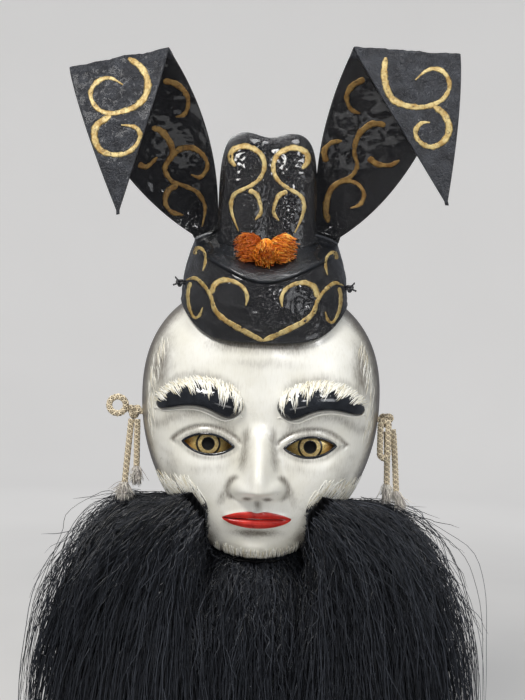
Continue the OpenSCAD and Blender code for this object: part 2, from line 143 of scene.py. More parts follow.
def smooth_path(points, steps):
    """A smooth curve through points, with steps stretches between each two."""
    p = np.asarray(points, float)
    a, b, c, d = np.vstack([p[:1], p[:-2]]), p[:-1], p[1:], np.vstack([p[2:], p[-1:]])
    t = (np.arange(steps) / steps)[None, :, None]
    a, b, c, d = (v[:, None, :] for v in (a, b, c, d))
    out = (b + (c - a) * t / 2 + (a * 2 - b * 5 + c * 4 - d) * t ** 2 / 2
           + (b * 3 - a - c * 3 + d) * t ** 3 / 2)
    return np.vstack([out.reshape(-1, p.shape[1]), p[-1:]])


def unit(v):
    return v / np.maximum(np.linalg.norm(v, axis=-1, keepdims=True), 1e-12)


# ---- mesh builders
def outward(verts, faces):
    """The same faces, turned over if they enclose a negative volume."""
    faces = np.asarray(faces)
    a, b, c = (verts[faces[:, k]] for k in range(3))
    volume = np.einsum("ij,ij->i", a, np.cross(b, c)).sum()
    if faces.shape[1] == 4:
        d = verts[faces[:, 3]]
        volume += np.einsum("ij,ij->i", a, np.cross(c, d)).sum()
    return faces if volume > 0 else faces[:, ::-1]


def grid_solid(front, back):
    """Closed solid between two grids of points of the same size."""
    n, m = front.shape[:2]
    q = n * m
    verts = np.concatenate([front.reshape(-1, 3), back.reshape(-1, 3)])
    i, j = np.meshgrid(np.arange(n - 1), np.arange(m - 1), indexing="ij")
    a = (i * m + j).ravel()
    faces = np.stack([a, a + 1, a + m + 1, a + m], 1)
    rim = np.concatenate([
        np.arange(m - 1), np.arange(n - 1) * m + m - 1,
        (n - 1) * m + np.arange(m - 1, 0, -1), np.arange(n - 1, 0, -1) * m])
    after = np.roll(rim, -1)
    sides = np.stack([rim, rim + q, after + q, after], 1)
    return verts, outward(verts, np.concatenate([faces, faces[:, ::-1] + q, sides]))


def tube_arrays(paths, radii, sides):
    """Points, side faces and end faces of closed tubes along paths (count, rings, 3), with a radius for
    each ring."""
    paths = np.asarray(paths, float)
    count, rings = paths.shape[:2]
    radii = np.broadcast_to(np.asarray(radii, float), (count, rings))
    along = np.empty_like(paths)
    along[:, 1:-1] = paths[:, 2:] - paths[:, :-2]
    along[:, 0], along[:, -1] = paths[:, 1] - paths[:, 0], paths[:, -1] - paths[:, -2]
    along = unit(along)
    across = unit(np.cross(along, (0.3, 1.0, 0.2)))
    up = np.cross(along, across)
    angle = 2 * math.pi * np.arange(sides) / sides
    ring = (across[:, :, None] * np.cos(angle)[None, None, :, None]
            + up[:, :, None] * np.sin(angle)[None, None, :, None])
    verts = (paths[:, :, None] + ring * radii[:, :, None, None]).reshape(-1, 3)
    base = (np.arange(count) * rings * sides)[:, None, None]
    i = (np.arange(rings - 1) * sides)[None, :, None]
    k = np.arange(sides)[None, None, :]
    after = (k + 1) % sides
    near, far = base + i, base + i + sides
    quads = np.stack([near + k, near + after, far + after, far + k], -1).reshape(-1, 4)
    first = base[:, 0] + np.arange(sides)[None, ::-1]
    last = base[:, 0] + (rings - 1) * sides + np.arange(sides)[None]
    return verts, quads, np.concatenate([first, last])


def tubes(paths, radii, sides):
    verts, quads, caps = tube_arrays(paths, radii, sides)
    return verts, [tuple(f) for f in quads.tolist()] + [tuple(f) for f in caps.tolist()]


def join(*parts):
    """One mesh from several (verts, faces) pairs."""
    verts, faces, base = [], [], 0
    for v, f in parts:
        verts.append(np.asarray(v, float))
        faces.extend(tuple(int(k) + base for k in face) for face in f)
        base += len(v)
    return np.vstack(verts), faces


def join_toned(pairs):
    """One mesh and its points' tones, from pairs of (verts, faces) and a tone: one number or one for each
    point."""
    tones = [np.broadcast_to(tone, len(part[0])) for part, tone in pairs]
    return *join(*[part for part, _ in pairs]), np.concatenate(tones)


def add_object(name, data):
    obj = bpy.data.objects.new(name, data)
    bpy.context.scene.collection.objects.link(obj)
    return obj


def point_values(mesh, name, values):
    mesh.attributes.new(name, "FLOAT", "POINT").data.foreach_set("value", np.asarray(values, np.float32))


def fill_mesh(mesh, verts, faces):
    """Fast fill from points in millimetres and a list of equal-sided face arrays."""
    corners = np.concatenate([f.ravel() for f in faces])
    sizes = np.concatenate([np.full(len(f), f.shape[1]) for f in faces])
    mesh.vertices.add(len(verts))
    mesh.vertices.foreach_set("co", (np.asarray(verts) * MM).astype(np.float32).ravel())
    mesh.loops.add(len(corners))
    mesh.loops.foreach_set("vertex_index", corners.astype(np.int32))
    mesh.polygons.add(len(sizes))
    mesh.polygons.foreach_set("loop_start", (np.cumsum(sizes) - sizes).astype(np.int32))
    mesh.update(calc_edges=True)
    mesh.validate()


def mesh_piece(name, verts, faces, material, slot, body=ROOT, replaces=(), tone=None):
    """An object from points in millimetres. It rides on body, unless that is None, and stands in for the CAD
    nodes it replaces."""
    mesh = bpy.data.meshes.new(name)
    if isinstance(faces, list) and isinstance(faces[0], np.ndarray) and faces[0].ndim == 2:
        fill_mesh(mesh, verts, faces)
    else:
        mesh.from_pydata((np.asarray(verts, float) * MM).tolist(), [], [tuple(f) for f in faces])
        mesh.update()
    obj = add_object(name, mesh)
    mesh.materials.append(material)
    mesh.shade_smooth()
    if tone is not None:
        point_values(mesh, "tone", tone)
    if body:
        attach(obj, body)
    if replaces:
        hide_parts(*replaces)
    return obj


def points_of(obj):
    co = np.empty(len(obj.data.vertices) * 3)
    obj.data.vertices.foreach_get("co", co)
    return co.reshape(-1, 3) / MM


def surface_of(*objs, keep=lambda y: True):
    """Search tree over some pieces, for laying things on them; keep picks faces by their depth."""
    verts, faces, base = [], [], 0
    for obj in objs:
        verts.extend(Vector(p) for p in points_of(obj))
        faces.extend([k + base for k in polygon.vertices] for polygon in obj.data.polygons
                     if keep(polygon.center.y / MM))
        base = len(verts)
    return BVHTree.FromPolygons(verts, faces)


def crinkle(points, scale, height, seed):
    """Uneven moulding: one height in millimetres for each point."""
    offset = Vector((seed * 7.1, seed * 3.3, seed * 5.7))
    return np.array([
        noise.noise(Vector(p) / scale + offset) + 0.5 * noise.noise(Vector(p) / scale * 2.3 + offset)
        for p in points.reshape(-1, 3)]).reshape(points.shape[:-1]) * height


# ---- materials
class Look:
    """A node material in short form: each method adds one node and gives back its output socket."""

    def __init__(self, name, **values):
        self.material = bpy.data.materials.new(name)
        self.material.use_nodes = True
        self.tree = self.material.node_tree
        self.shader = self.tree.nodes["Principled BSDF"]
        coords = self.tree.nodes.new("ShaderNodeTexCoord")
        self.where = coords.outputs["Object"]
        for key, value in values.items():
            self.put(self.shader.inputs[key.replace("_", " ")], value)

    def put(self, socket, value):
        if isinstance(value, bpy.types.NodeSocket):
            self.tree.links.new(value, socket)
        elif socket.type == "RGBA" and len(value) == 3:
            socket.default_value = (*value, 1)
        else:
            socket.default_value = value

    def node(self, kind, *inputs, **settings):
        node = self.tree.nodes.new("ShaderNode" + kind)
        for key, value in settings.items():
            setattr(node, key, value)
        for key, value in inputs:
            self.put(node.inputs[key], value)
        return node

    def noise(self, scale, detail=5.0, rough=0.55, where=None, distortion=0.0):
        return self.node("TexNoise", ("Vector", where or self.where), ("Scale", scale), ("Detail", detail),
                         ("Roughness", rough), ("Distortion", distortion)).outputs["Fac"]

    def cells(self, scale, where, feature="F1"):
        return self.node("TexVoronoi", ("Vector", where), ("Scale", scale), feature=feature).outputs["Distance"]

    def stretched(self, x, y, z, turn=0.0):
        return self.node("Mapping", ("Vector", self.where), ("Scale", (x, y, z)),
                         ("Rotation", (0, turn, 0))).outputs["Vector"]

    def value(self, name):
        return self.node("Attribute", attribute_name=name).outputs["Fac"]

    def ramp(self, fac, *stops):
        node = self.node("ValToRGB", ("Fac", fac))
        elements = node.color_ramp.elements
        while len(elements) < len(stops):
            elements.new(0.5)
        for element, (at, colour) in zip(elements, stops):
            element.position = at
            element.color = (*((colour,) * 3 if isinstance(colour, (int, float)) else colour), 1)
        return node.outputs["Color"]

    def blend(self, fac, a, b):
        return self.node("Mix", (0, fac), (6, a), (7, b), data_type="RGBA", blend_type="MIX").outputs[2]

    def math(self, how, a, b, clamp=False):
        return self.node("Math", (0, a), (1, b), operation=how, use_clamp=clamp).outputs[0]

    def part(self, fac, share):
        return self.math("MULTIPLY", fac, share)

    def swing(self, fac, size):
        """Moves fac's middle, 0.5, to 0 and scales what is left."""
        return self.part(self.math("SUBTRACT", fac, 0.5), size)

    def vector(self, how, a, *b):
        node = self.node("VectorMath", *enumerate((a, *b)), operation=how)
        return node.outputs["Value" if how == "LENGTH" else 0]

    def band(self, fac, low, high):
        """1 where fac is above high, 0 below low, smooth between."""
        return self.node("MapRange", ("Value", fac), ("From Min", low), ("From Max", high),
                         interpolation_type="SMOOTHSTEP").outputs["Result"]

    def bump(self, height, strength, distance, under=None):
        node = self.node("Bump", ("Height", height), ("Strength", strength), ("Distance", distance))
        if under is not None:
            self.put(node.inputs["Normal"], under)
        return node.outputs["Normal"]

    def finish(self, colour, roughness, normal=None, metallic=None):
        self.put(self.shader.inputs["Base Color"], colour)
        self.put(self.shader.inputs["Roughness"], roughness)
        if normal is not None:
            self.put(self.shader.inputs["Normal"], normal)
        if metallic is not None:
            self.put(self.shader.inputs["Metallic"], metallic)
        return self.material


# The second colour is painted shade, laid over the white where shade falls on the face.
IVORY, SHADE_COLOUR = (0.80, 0.79, 0.73), (0.10, 0.080, 0.060)
# The second colour is the same gold made darker for the leaves behind the flaps: painted shade.
GOLD_PALE, GOLD_IN_SHADE = (0.52, 0.41, 0.18), (0.33, 0.20, 0.06)


def skin_look():
    """Shell-white paint: painted shade near the edges and in the hollows, fine brush marks."""
    k = Look("shell_white", Specular_IOR_Level=0.5, Coat_Weight=0.4, Coat_Roughness=0.16)
    mottled = k.ramp(k.noise(26, 6), (0.3, (0.70, 0.68, 0.59)), (0.62, IVORY))
    fine = k.noise(900, 3, where=k.stretched(1, 1, 0.12, 0.5))
    base = k.blend(k.band(fine, 0.45, 0.75), mottled, (0.66, 0.63, 0.54))
    base = k.blend(0.35, mottled, base)
    # Painted shade: the shade mask, broken up by noise and by the brush marks.
    uneven = k.math("ADD", k.value("painted_shade"), k.swing(k.noise(70, 5), 0.45))
    uneven = k.math("ADD", uneven, k.part(k.math("SUBTRACT", fine, 0.5), k.part(uneven, 1.2)))
    shaded = k.blend(k.part(k.band(uneven, 0.02, 0.85), 0.92), base, SHADE_COLOUR)
    rough = k.ramp(k.noise(60, 4), (0.3, 0.27), (0.75, 0.42))
    relief = k.bump(k.noise(34, 5), 0.12, 0.0012, k.bump(fine, 0.10, 0.0003))
    return k.finish(shaded, rough, relief)


def lip_look():
    """Red lip paint over the white, thinner in patches."""
    k = Look("lip_red", Coat_Weight=0.3, Coat_Roughness=0.15)
    patch = k.noise(160, 5)
    colour = k.ramp(patch, (0.35, (0.42, 0.010, 0.006)), (0.7, (0.66, 0.028, 0.014)))
    colour = k.blend(k.part(k.band(k.noise(520, 4, 0.7), 0.64, 0.78), 0.4), colour, (0.60, 0.34, 0.27))
    return k.finish(colour, k.ramp(patch, (0.3, 0.26), (0.7, 0.4)), k.bump(k.noise(700, 3), 0.15, 0.0003))


def inside_look():
    """Bare layered paper behind the face: brown, fibrous, with overlapping strips."""
    k = Look("inner_paper")
    strips = k.cells(24, where=k.stretched(1, 1, 0.5, 0.6))
    colour = k.ramp(k.noise(50, 6), (0.3, (0.20, 0.13, 0.075)), (0.7, (0.36, 0.26, 0.16)))
    colour = k.blend(k.band(strips, 0.25, 0.6), colour, (0.15, 0.10, 0.06))
    fibres = k.noise(700, 4, where=k.stretched(1, 1, 0.15, 0.9))
    return k.finish(colour, k.ramp(fibres, (0.3, 0.62), (0.7, 0.85)),
                    k.bump(strips, 0.35, 0.0012, k.bump(fibres, 0.3, 0.0004)))


def lacquer_look(name, dark, light, wrinkle, rough, coat):
    """Black lacquer over crinkled paper; wrinkle 0 is smooth."""
    k = Look(name, Coat_Weight=coat, Coat_Roughness=0.07, Specular_IOR_Level=0.45)
    folds = k.noise(300, 6, 0.62, distortion=2.0)
    creases = k.cells(420, where=k.stretched(1, 1, 0.6, 0.4), feature="DISTANCE_TO_EDGE")
    colour = k.ramp(k.noise(95, 6, 0.6), (0.35, dark), (0.72, light))
    worn = k.band(k.noise(420, 5, 0.7), 0.62, 0.76)
    colour = k.blend(k.part(worn, 0.10), colour, (0.17, 0.16, 0.14))
    roughness = k.ramp(k.noise(210, 4), (0.3, rough[0]), (0.75, rough[1]))
    relief = k.bump(folds, 1.0 * wrinkle, 0.0026, k.bump(creases, 0.9 * wrinkle, 0.0012))
    relief = k.bump(k.noise(620, 3), 0.08 + 0.5 * wrinkle, 0.0004, relief)
    return k.finish(colour, roughness, relief)


def gold_paint_look(name, light, deep):
    """Gold brushed over black: patchy, thin in places, with bristle marks."""
    k = Look(name, Specular_IOR_Level=0.4)
    bristles = k.noise(1300, 3, where=k.stretched(1, 1, 0.2, 0.8))
    patch = k.math("ADD", k.noise(130, 6, 0.72), k.swing(bristles, 0.25))
    colour = k.ramp(patch, (0.38, deep), (0.58, light))
    thin = k.band(k.math("ADD", k.noise(420, 5, 0.75), k.part(bristles, 0.15)), 0.60, 0.74)
    colour = k.blend(k.part(thin, 0.85), colour, (0.035, 0.028, 0.018))
    return k.finish(colour, k.ramp(patch, (0.3, 0.62), (0.7, 0.42)), k.bump(bristles, 0.8, 0.0003), 0.2)


def eye_look(name, side):
    """Gilt plate: black ring, paler gold ring and dark pupil round the sight hole, orange at the outer corner."""
    pupil, ring_inside, ring_outside = (0.0056, 0.0059), (0.00865, 0.0090), (0.01045, 0.0108)   # soft edges, m
    k = Look(name, Coat_Weight=0.35, Coat_Roughness=0.12)
    flat = k.vector("MULTIPLY", k.vector("SUBTRACT", k.where, (side * EYE_X * MM, 0, 0)), (1, 0, 1))
    radius = k.vector("LENGTH", flat)
    split = k.node("SeparateXYZ", ("Vector", flat))
    outer = k.band(k.part(split.outputs["X"], float(side)), 0.009, 0.021)
    leaf = k.ramp(k.noise(75, 6, 0.6), (0.3, (0.50, 0.33, 0.09)), (0.68, (0.88, 0.70, 0.28)))
    leaf = k.blend(k.part(outer, 0.75), leaf, (0.66, 0.26, 0.04))
    scratches = k.noise(1100, 3, where=k.stretched(1, 1, 0.1, 1.0))
    leaf = k.blend(k.part(k.band(scratches, 0.55, 0.75), 0.45), leaf, (0.16, 0.08, 0.02))
    ring = k.ramp(k.noise(300, 4), (0.3, (0.50, 0.34, 0.12)), (0.7, (0.86, 0.70, 0.34)))
    colour = k.blend(k.band(radius, *ring_inside), ring, (0.010, 0.008, 0.006))
    colour = k.blend(k.band(radius, *ring_outside), colour, leaf)
    colour = k.blend(k.band(radius, *pupil), (0.006, 0.005, 0.004), colour)
    gilt = k.math("SUBTRACT", k.band(radius, *pupil), k.math(
        "SUBTRACT", k.band(radius, *ring_inside), k.band(radius, *ring_outside)), clamp=True)
    return k.finish(colour, k.ramp(k.noise(240, 4), (0.3, 0.20), (0.7, 0.36)),
                    k.bump(scratches, 0.25, 0.0003, k.bump(k.noise(60, 4), 0.2, 0.001)),
                    k.part(gilt, 0.4))


def strand_look(name, dark, light, rough, tint=None, **values):
    """Hair or thread: each strand has its own tone, and the tone drifts along it; tint is for the palest."""
    k = Look(name, **values)
    tone = k.math("ADD", k.value("tone"), k.swing(k.noise(120, 4), 0.5), clamp=True)
    colour = k.ramp(tone, (0.1, dark), (0.9, light))
    if tint:
        colour = k.blend(k.part(k.band(k.value("tone"), 0.82, 0.95), 0.8), colour, tint)
    grain = k.noise(2400, 2, where=k.stretched(1, 1, 0.08))
    return k.finish(colour, k.ramp(k.value("tone"), (0.0, rough[0]), (1.0, rough[1])),
                    k.bump(grain, 0.25, 0.0002))


def cloth_look(name, dark, light, scale=900):
    """Felt or coarse cloth for the lining pieces."""
    k = Look(name)
    fibres = k.noise(scale, 5, 0.7)
    weave = k.node("TexWave", ("Vector", k.where), ("Scale", scale / 4), ("Distortion", 3.0),
                   ("Detail", 2.0)).outputs["Fac"]
    colour = k.ramp(k.part(fibres, k.noise(40, 4)), (0.15, dark), (0.42, light))
    return k.finish(colour, k.ramp(fibres, (0.3, 0.80), (0.7, 0.97)),
                    k.bump(weave, 0.25, 0.0005, k.bump(fibres, 0.5, 0.0006)))


def wire_look():
    k = Look("annealed_wire", Metallic=0.9)
    scale = k.noise(800, 4)
    return k.finish(k.ramp(scale, (0.35, (0.07, 0.065, 0.06)), (0.7, (0.20, 0.19, 0.18))),
                    k.ramp(scale, (0.3, 0.34), (0.7, 0.6)), k.bump(scale, 0.25, 0.0003))


def floor_look():
    """Pale paper; far out it glows faintly, so that the backdrop is as light as the floor by the mask."""
    glow, glow_from, glow_to = 0.42, 0.5, 2.2
    k = Look("pale_floor")
    tone = k.noise(3, 3)
    far = k.band(k.vector("LENGTH", k.where), glow_from, glow_to)
    k.put(k.shader.inputs["Emission Color"], (1.0, 0.985, 0.965, 1))
    k.put(k.shader.inputs["Emission Strength"], k.part(far, glow))
    k.material.cycles.emission_sampling = "NONE"
    return k.finish(k.ramp(tone, (0.3, (0.70, 0.69, 0.67)), (0.7, (0.74, 0.73, 0.71))),
                    k.ramp(tone, (0.3, 0.75), (0.7, 0.85)), k.bump(k.noise(400, 3), 0.05, 0.0005))


SKIN, LIPS, INSIDE = skin_look(), lip_look(), inside_look()
BROW = lacquer_look("brow_black", (0.006, 0.007, 0.009), (0.022, 0.025, 0.031), 0.04, (0.08, 0.18), 0.6)
CAP = lacquer_look("cap_black", (0.003, 0.003, 0.004), (0.010, 0.010, 0.012), 1.0, (0.12, 0.26), 0.45)
CAP_SMOOTH = lacquer_look("cap_top_black", (0.004, 0.005, 0.006), (0.014, 0.016, 0.020), 0.35,
                          (0.14, 0.30), 0.4)
# The flap's lacquer is painted lighter than the rest of its sheet: painted light, where the flap hangs forward
# into the lamps.
LIT_FLAP_LACQUER = lacquer_look("flap_lit_lacquer", (0.014, 0.015, 0.019), (0.044, 0.048, 0.058), 1.0, (0.34, 0.52), 0.04)
TIE = strand_look("tie_black", (0.008, 0.008, 0.010), (0.05, 0.05, 0.055), (0.25, 0.4))
GOLD = gold_paint_look("gold_pale", GOLD_PALE, (0.30, 0.18, 0.045))
# Darker copy of the gold paint, for the leaves: painted shade.
GOLD_SHADED = gold_paint_look("gold_shaded", GOLD_IN_SHADE, (0.16, 0.075, 0.015))
HAIR = strand_look("horsehair", (0.004, 0.0045, 0.006), (0.052, 0.058, 0.072), (0.26, 0.42),
                   Specular_IOR_Level=0.5)
HAIR_DEEP = strand_look("hair_shadow", (0.0015, 0.0016, 0.002), (0.006, 0.0065, 0.008), (0.7, 0.9),
                        Specular_IOR_Level=0.2)
SILK = strand_look("orange_silk", (0.48, 0.075, 0.003), (0.95, 0.34, 0.015), (0.35, 0.55), (0.95, 0.66, 0.16))
BRAID = strand_look("cream_braid", (0.06, 0.038, 0.022), (0.80, 0.69, 0.50), (0.6, 0.85))
FRAY = strand_look("frayed_ends", (0.40, 0.36, 0.34), (0.90, 0.86, 0.76), (0.6, 0.9))
BRISTLE = strand_look("cream_strokes", (0.62, 0.55, 0.36), (0.92, 0.91, 0.85), (0.35, 0.5))
FELT = cloth_look("felt", (0.30, 0.25, 0.17), (0.60, 0.53, 0.40))
STRIP = cloth_look("strip_cloth", (0.10, 0.07, 0.045), (0.26, 0.19, 0.13), 600)
# The gauze behind the sight holes is almost pure black: it stands in for the shade seen through the pupils.
SHADE_GAUZE = cloth_look("shade_black_gauze", (0.0005, 0.0005, 0.0005), (0.002, 0.002, 0.002), 1400)


# ---- the face
def half_w(z, inset=0.0):
    return (FACE_W / 2 - inset) * (1 - JAW_TAPER * clamp((Z_MID - z) / (Z_MID + FACE_CHIN)) ** 2)


def half_h(z, inset):
    return np.where(z > Z_MID, FACE_TOP - Z_MID, Z_MID + FACE_CHIN) - inset


def rim_share(x, z, inset=0.0):
    """0 in the middle of the face, 1 on its outline."""
    return power_norm(x / half_w(z, inset), (z - Z_MID) / half_h(z, inset), OUTLINE_POWER)


def dome(t, inset=0.0):
    return (DOME - inset) * (1 - t ** DOME_POWER) ** DOME_EDGE


def features(x, z):
    """The same features as in the CAD: forehead, brow ridge, eye hollow, nose, cheeks, mouth and chin."""
    a = np.abs(x)
    nose = (6 * ease(22, 4, z) + (NOSE_OUT - 6) * ease(14, -30, z)) * ease(-48, -36, z)
    nose_half = 8.5 + 5 * ease(14, -30, z)
    return (3 * bump(a, z - 70, 60, 30) + 5 * bump(a - 46, z - 36, 36, 13) - 9 * bump(a - 44, z, 24, 13)
            + 5 * bump(a - EYE_X, z, 21, 12) + nose * np.exp(-(a / nose_half) ** 2.2)
            + 11 * bump(a - 14.5, z + 36, 7.5, 8) + 5 * bump(a - 60, z + 25, 26, 22)
            + 7 * bump(a, z + 62, 32, 20) + 16 * bump(a, z + 97, 22, 13) - 3 * bump(a, z + 81, 18, 6))


def eye_distance(x, z):
    """Distance outside the outline of the nearer eye opening; negative inside."""
    u, v = turned(np.abs(x) - EYE_X, z, -EYE_TILT)
    return np.maximum(np.hypot(u, v - EYE_R + EYE_H / 2), np.hypot(u, v + EYE_R - EYE_H / 2)) - EYE_R


LIP_Z, LIP_HALF = -63, 30


def lip_heights(x):
    """Top of the upper lip and foot of the lower lip."""
    t = clamp(1 - (x / LIP_HALF) ** 2)
    return LIP_Z + 7.5 * t ** 0.8 - 1.6 * hill(x, 4.5), LIP_Z - 8.5 * t ** 0.7


def fine_features(x, z):
    """What the paint layers add to the CAD's shape: eyelids, lips, groove above the lip, nose wings."""
    a = np.abs(x)
    gap = eye_distance(x, z)
    upper = ease(-3, 4, z + 0.06 * (a - EYE_X))
    lids = 1.9 * hill(gap - 2.4, 2.4) * (0.55 + 0.45 * upper)
    crease = -1.3 * hill(gap - 7.2, 1.5) * upper
    top, foot = lip_heights(x)
    inside = ease(LIP_HALF + 1, LIP_HALF - 7, a)
    lips = (2.3 * hill(z - mix(LIP_Z, top, 0.62), 2.9)
            + 3.0 * hill(z - mix(LIP_Z, foot, 0.55), 3.4))
    seam = -1.9 * hill(z - LIP_Z, 1.15) * ease(LIP_HALF + 3, LIP_HALF - 5, a)
    groove = -1.5 * hill(x, 3.4) * ease(-56, -52, z) * ease(-42, -46, z)
    wing = -1.4 * hill(np.hypot(a - 12.5, (z + 37) * 1.15) - 11.5, 2.2) * ease(12, 19, a)
    nostril = -2.6 * bump(a - 8.5, z + 43.5, 3.6, 2.0)
    return lids + crease + lips * inside + seam + groove + wing + nostril


def face_depth(x, z, inset=0.0):
    t = np.minimum(1, rim_share(x, z, inset))
    return dome(t, inset) + features(x, z) * (1 - t ** 8)


def face_grid(steps, inset, fine):
    """Points of the shell's front, or of its back with an inset; fine adds what the paint layers add."""
    u, v = np.meshgrid(spread(steps), spread(steps))
    dx, dz = on_disc(u, v, OUTLINE_POWER)
    reach = np.where(dz > 0, FACE_TOP - Z_MID, Z_MID + FACE_CHIN)
    z = Z_MID + dz * reach
    x = dx * half_w(z, inset)
    t = np.minimum(1, power_norm(dx, dz, OUTLINE_POWER))
    relief = features(dx * half_w(z), z) + (fine_features(dx * half_w(z), z) if fine else 0)
    y = -dome(t, inset) - relief * (1 - t ** 8)
    return np.stack([x, y, Z_MID + dz * (reach - inset)], -1)


def on_skin(x, z, lift):
    """Points on the painted surface, lifted a little towards the viewer."""
    t = np.minimum(1, rim_share(x, z))
    relief = (features(x, z) + fine_features(x, z)) * (1 - t ** 8)
    return np.stack([x, -dome(t) - relief - lift, z], -1)


def cut(obj, cutters):
    """Cut closed meshes out of obj, then throw the cutters away."""
    for cutter in cutters:
        modifier = obj.modifiers.new("cut", "BOOLEAN")
        modifier.operation, modifier.solver, modifier.object = "DIFFERENCE", "EXACT", cutter
    bpy.context.view_layer.update()
    done = bpy.data.meshes.new_from_object(obj.evaluated_get(bpy.context.evaluated_depsgraph_get()))
    obj.modifiers.clear()
    obj.data = done
    for cutter in cutters:
        bpy.data.objects.remove(cutter)


def make_cutter(verts, faces):
    """A convex mesh to cut with, its faces outward."""
    mesh = bpy.data.meshes.new("cutter")
    mesh.from_pydata((np.asarray(verts) * MM).tolist(), [], [tuple(f) for f in faces])
    obj = add_object("cutter", mesh)
    co, first = points_of(obj), list(mesh.polygons[0].vertices)
    normal = np.cross(co[first[1]] - co[first[0]], co[first[2]] - co[first[0]])
    if np.dot(normal, co[first].mean(axis=0) - co.mean(axis=0)) < 0:
        mesh.flip_normals()
    return obj


def eye_outline(side, count, grow):
    """Points (x, z) round one eye opening, from its inner corner over the top."""
    span = math.asin(EYE_W / 2 / EYE_R)
    angle = np.linspace(-span, span, count // 2 + 1)
    upper = np.stack([(EYE_R + grow) * np.sin(angle), (EYE_R + grow) * np.cos(angle) - EYE_R + EYE_H / 2], -1)
    lower = np.stack([upper[::-1, 0], -upper[::-1, 1]], -1)
    x, z = turned(*np.vstack([upper[:-1], lower[:-1]]).T, EYE_TILT)
    return np.stack([side * (x + EYE_X), z], -1)


def make_face():
    steps = 300
    before, behind = -125.0, -40.0            # the eye cutters' ends in y
    hole_from, hole_to = 92, 120              # the cord holes' ends in x
    verts, faces = grid_solid(face_grid(steps, 0, True), face_grid(steps, WALL, False))
    obj = mesh_piece("face", verts, faces, SKIN, "painted_paper", replaces=["face_shell"])
    cutters = []
    for side, _ in SIDES:
        ring = eye_outline(side, 40, 0.0)
        n = len(ring)
        prism = np.vstack([np.insert(ring, 1, y, axis=1) for y in (before, behind)])
        faces = [(k, (k + 1) % n, n + (k + 1) % n, n + k) for k in range(n)]
        faces += [tuple(range(n))[::-1], tuple(range(n, 2 * n))]
        cutters.append(make_cutter(prism, [f[::side] for f in faces]))
        hole = np.array([[[side * x, HOLE_Y, HOLE_Z] for x in (hole_from, hole_to)]], float)
        cutters.append(make_cutter(*tubes(hole, HOLE_R, 20)))
    cut(obj, cutters)
    mesh = obj.data
    mesh.materials.clear()
    mesh.materials.append(SKIN)
    mesh.materials.append(INSIDE)
    middle = Vector((0, 0, 0.02))
    mesh.polygons.foreach_set("material_index", [(p.center - middle).dot(p.normal) < 0 for p in mesh.polygons])
    mesh.shade_smooth()
    paint_face(obj)
    return obj


def paint_face(obj):
    """Where the painted shade lies, as (strength, shape) pairs of which the strongest counts."""
    x, _, z = points_of(obj).T
    a, share, gap = np.abs(x), rim_share(x, z), eye_distance(x, z)
    wing_edge = np.hypot(a - 12.5, (z + 37) * 1.15) - 13.5
    brow_from = np.min([np.hypot(a - px, z - pz) for px, pz in brow_curve(np.linspace(0, 1, 12))], axis=0)
    shades = (
        (0.95, ease(0.80, 1.0, share) ** 1.5),
        (0.62, hill(gap - 6.8, 2.8) * ease(-4, 3, z)),
        (0.42, hill(gap - 2.5, 3.0)),
        (0.62, hill(wing_edge, 3.6) * ease(12, 22, a) * ease(-50, -43, z)),
        (0.50, hill(a - 11 - 0.10 * (14 - z), 4.6) * ease(-30, -10, z) * ease(28, 8, z)),
        (0.42, hill(a - 26 - 0.35 * (-34 - z), 5.0) * ease(-60, -46, z) * ease(-24, -38, z)),
        (0.24, hill(gap - 13 - 0.12 * (a - EYE_X), 6.0) * ease(0, -10, z)),
        (0.95, bump(a - 8.5, z + 44.5, 4.4, 2.3)),
        (0.70, bump(a, z + 76, 22, 4.5)),
        (0.50, bump(a, z + 50, 4, 6)),
        (0.60, bump(a - 40, z + 84, 9, 14)),
        # Painted shadow of the cap's brim along the top of the forehead.
        (0.80, ease(72, 90, z) * ease(64, 20, a)),
        (0.26, bump(a, z - 70, 36, 6)),
        (0.42, hill(brow_from - 15, 6.0) * ease(12, 26, a)),
        (0.60, bump(a - 88, z - 66, 12, 34)),
        (0.35, bump(a - 74, z + 30, 10, 26)))
    point_values(obj.data, "painted_shade", np.max([strength * shape for strength, shape in shades], axis=0))


def make_lips():
    """Two thin painted patches and the dark line between them."""
    parts = []
    for way in (1, -1):
        s, t = np.meshgrid(np.linspace(-1, 1, 100), np.linspace(0, 1, 16))
        x = np.sin(s * math.pi / 2) * (LIP_HALF - 0.4)
        z = mix(LIP_Z, lip_heights(x)[0 if way > 0 else 1], t)
        parts.append(grid_solid(on_skin(x, z, 0.24), on_skin(x, z, -0.2)))
    mesh_piece("lips", *join(*parts), LIPS, "painted_paper")
    x = np.linspace(1 - LIP_HALF, LIP_HALF - 1, 60)
    verts, faces = tubes(on_skin(x, LIP_Z + 0.0 * x, 0.15)[None], 0.62 * brush(60, 1.0, 0.35, 0.0), 6)
    mesh_piece("lip_line", verts, faces, TIE, "painted_paper", tone=np.full(len(verts), 0.1))


# ---- brows
def brow_curve(s):
    return bend(*BROW_LINE, s)


def brow_half(s):
    s = clamp(s)
    return 0.8 + 12.4 * np.sqrt(1 - (2 * s - 1) ** 6) * (1 - 0.5 * s ** 1.5)


def brow_point(s, t):
    """Point (x, z) of a brow: s from 0 to 1 along it, t from -1 at its lower edge to 1 at its upper."""
    s, t = np.broadcast_arrays(np.asarray(s, float), np.asarray(t, float))
    along = unit(brow_curve(s + 0.01) - brow_curve(s))
    normal = np.stack([-along[..., 1], along[..., 0]], -1)
    return brow_curve(s) + normal * (t * brow_half(s))[..., None]


